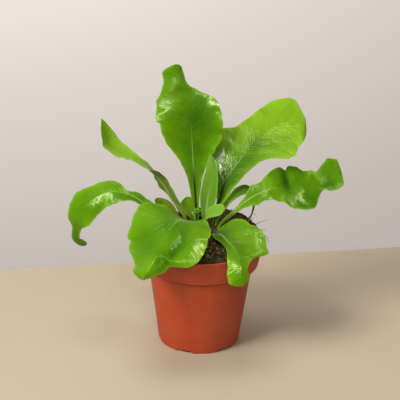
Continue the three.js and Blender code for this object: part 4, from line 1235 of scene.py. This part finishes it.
def crownPoint(share, angle, height):
    uneven = 1 + 0.04 * math.sin(3 * angle + 0.6) + 0.03 * math.sin(5 * angle)
    x = crown["centre"][0] + crown["halfLength"] * share * uneven * math.cos(angle)
    y = crown["centre"][1] + crown["halfDepth"] * share * uneven * math.sin(angle)
    bump = noise.fractal(Vector((x, y, height)) * 0.3, 0.9, 2.0, 3) * 0.7
    return (x * mm, y * mm, (height + bump) * mm)


# Papery scales: small flat pointed blades that stand up from a surface
def buildScaleCover():
    tree, given, leave = newTree("paperyScales", {"Density": 600000.0, "Size": 0.003, "Seed": 1})
    cone = addNode(tree, "GeometryNodeMeshCone", {
        "Vertices": 5, "Radius Top": 0.02, "Radius Bottom": 0.16, "Depth": 1.0,
    })
    flat = addNode(tree, "GeometryNodeTransform", {0: cone.outputs["Mesh"], "Scale": (1.0, 0.28, 1.0)})
    sizes = mathNode(tree, "MULTIPLY", randomNode(tree, given, 0.5, 1.0), given["Size"])
    copies = strewCopies(tree, given, flat.outputs[0], ((-1.1, -1.1, 0), (1.1, 1.1, 6.28)), sizes)
    return finishTree(tree, given, leave, copies)


def makeCrown():
    sides = crown["sides"]
    top = crown["edgeTop"]
    rows = [(0.75, crown["bottom"]), (0.97, crown["waist"]), (1.0, top - 5), (1.0, top - 2)]
    for share in np.linspace(0.99, 0.04, 24):
        rows.append((share, top + crown["dome"] * (1 - share ** 2) - 0.3 * share ** 8))
    points = [crownPoint(0, 0, crown["bottom"])]
    faces = []
    for share, height in rows:
        for side in range(sides):
            points.append(crownPoint(share, 2 * math.pi * side / sides, height))
    points.append(crownPoint(0, 0, top + crown["dome"]))
    for side in range(sides):
        after = (side + 1) % sides
        faces.append((0, 1 + after, 1 + side))
        for row in range(len(rows) - 1):
            first = 1 + row * sides
            faces.append((first + side, first + after, first + sides + after, first + sides + side))
        first = 1 + (len(rows) - 1) * sides
        faces.append((first + side, first + after, len(points) - 1))
    material = crownMaterial()
    body = makeObject("crownBody", points, faces, [material])
    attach(body, "root")
    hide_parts("crown")
    scaly = [face for face in faces if min(points[point][2] for point in face) > crown["scalesFrom"] * mm]
    carrier = makeObject("crownScaleCover", points, scaly, [material])
    growMesh(carrier, buildScaleCover(), {**crown["scales"], "Material": material})
    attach(carrier, "root")
    print("crown scales", len(carrier.data.polygons), "faces")


makeCrown()
print("crown made")

# Crozier, the new frond that is still curled, and the loose roots: round threads along a line, in millimetres

crozier = {
    "foot": (-3.5, -2.5, 94), "neck": (-5.3, -2.5, 112),
    "curl": (-3.3, 117), "outer": 1.9, "inner": 0.5, "angle": 470,
    "stemRadius": 0.95, "curlRadius": 1.35, "tipRadius": 0.8, "sides": 20, "stemSteps": 24, "steps": 80,
    "smoothing": 6, "tone": 0.1,
}
roots = [
    {"radius": 0.28, "points": [(44, 12, 97), (47, 13, 100), (51, 14, 101.5), (56, 15, 103)]},
    {"radius": 0.3, "points": [(50, 2, 93.5), (53, 1, 94.5), (55.5, 0, 92.5), (56.5, -1, 89)]},
    {"radius": 0.25, "points": [(38, 22, 99), (42, 26, 102), (45, 31, 101), (47, 34, 97)]},
    {"radius": 0.25, "points": [(-30, 26, 92), (-34, 30, 95), (-39, 32, 94.5), (-43, 33, 91)]},
    {"radius": 0.25, "points": [(10, -42, 90), (16, -45, 92), (22, -44, 92.5), (27, -41, 91)]},
]


def threadMesh(name, path, radii, sides, material):
    directions = unit(np.gradient(path, axis=0))
    side = unit(np.cross(directions[0], (0.0, 0.0, 1.0) if abs(directions[0][2]) < 0.9 else (0.0, 1.0, 0.0)))
    points = []
    faces = []
    for centre, direction, radius in zip(path, directions, radii):
        side = unit(side - (side @ direction) * direction)
        other = np.cross(direction, side)
        if points:
            faces += ringFaces(len(points) - sides, len(points), sides)
        for step in range(sides):
            angle = 2 * math.pi * step / sides
            points.append(centre + radius * (math.cos(angle) * side + math.sin(angle) * other))
    last = len(points) - sides
    points += [path[0], path[-1]]
    for step in range(sides):
        after = (step + 1) % sides
        faces.append((len(points) - 2, after, step))
        faces.append((len(points) - 1, last + step, last + after))
    return makeObject(name, np.array(points) * mm, faces, [material])


def makeCrozier():
    foot = np.array(crozier["foot"], float)
    neck = np.array(crozier["neck"], float)
    path = [foot + (neck - foot) * share for share in np.linspace(0, 1, crozier["stemSteps"])]
    for step in range(1, crozier["steps"] + 1):
        share = step / crozier["steps"]
        angle = math.radians(180 - share * crozier["angle"])
        radius = crozier["outer"] + (crozier["inner"] - crozier["outer"]) * share
        across = crozier["curl"][0] + radius * math.cos(angle)
        path.append(np.array([across, foot[1], crozier["curl"][1] + radius * math.sin(angle)]))
    path = np.array(path)
    for turn in range(crozier["smoothing"]):
        path[1:-1] = (path[:-2] + path[1:-1] * 2 + path[2:]) / 4
    shares = np.clip((np.arange(len(path)) - crozier["stemSteps"]) / crozier["steps"], 0, 1)
    thickness = (crozier["stemRadius"], crozier["curlRadius"], crozier["tipRadius"])
    radii = np.interp(shares, (0, 0.35, 1), thickness)
    piece = threadMesh("crozierCurl", path, radii, crozier["sides"], leafMaterials["youngTop"])
    rows = np.minimum(np.arange(len(piece.data.vertices)) // crozier["sides"], len(path) - 1)
    shades = {"tone": crozier["tone"], "margin": 0.0, "ribShow": 0.0, "brownRib": 0.0, "gloss": 1.0}
    markLeaf(piece.data, np.full(len(rows), 10.0), rows * 0.8, shades)
    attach(piece, "root")
    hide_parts("crozier")


def makeRoots():
    material = soilMaterial("rootSkin", "grain")
    shares = np.linspace(0, 1, 40)
    for index, root in enumerate(roots):
        path, directions = smoothLine(root["points"], shares)
        piece = threadMesh(f"looseRoot{index + 1}", path, root["radius"] * (1 - 0.6 * shares), 8, material)
        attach(piece, "root")


makeCrozier()
makeRoots()
print("crozier and roots made")


# Stage

def plainMaterial(name, colour, roughness):
    material, tree, surface = newMaterial(name)
    feed(surface, {"Base Color": (*colour, 1), "Roughness": roughness, "Specular IOR Level": 0.2})
    return material


def makeStage():
    left = Vector(stageSizes["tableBackLeft"])
    right = Vector(stageSizes["tableBackRight"])
    reach = stageSizes["tableReach"]
    along = (right - left).normalized() * reach
    left -= along
    right += along
    outline = [(left.x, -reach), (right.x, -reach), (right.x, right.y), (left.x, left.y)]
    points = [(x, y, height) for height in (0, -stageSizes["tableThick"]) for x, y in outline]
    faces = [(0, 1, 2, 3), (7, 6, 5, 4)]
    faces += [(side, side + 4, (side + 1) % 4 + 4, (side + 1) % 4) for side in range(4)]
    tableMaterial = plainMaterial("palePaint", stageSizes["tableColour"], 0.75)
    table = makeObject("tableTop", points, faces, [tableMaterial], smooth=False)
    half = stageSizes["wallHalfWidth"]
    far = stageSizes["wallDistance"]
    low = stageSizes["wallFrom"]
    high = stageSizes["wallTo"]
    wallPoints = [(-half, far, low), (half, far, low), (half, far, high), (-half, far, high)]
    wallMaterial = plainMaterial("paleWall", stageSizes["wallColour"], 0.95)
    wall = makeObject("wall", wallPoints, [(0, 1, 2, 3)], [wallMaterial], smooth=False)


def makeWorld():
    world = bpy.data.worlds.new("softSky")
    world.use_nodes = True
    feed(world.node_tree.nodes["Background"], {"Color": (*sky["colour"], 1), "Strength": sky["strength"]})
    bpy.context.scene.world = world
    bpy.context.scene.view_settings.view_transform = "Standard"
    bpy.context.scene.view_settings.look = "None"


makeStage()
makeWorld()
addCamera()
for name, settings in lights.items():
    addLight(name + "Light", **settings)
print("stage and lights made")
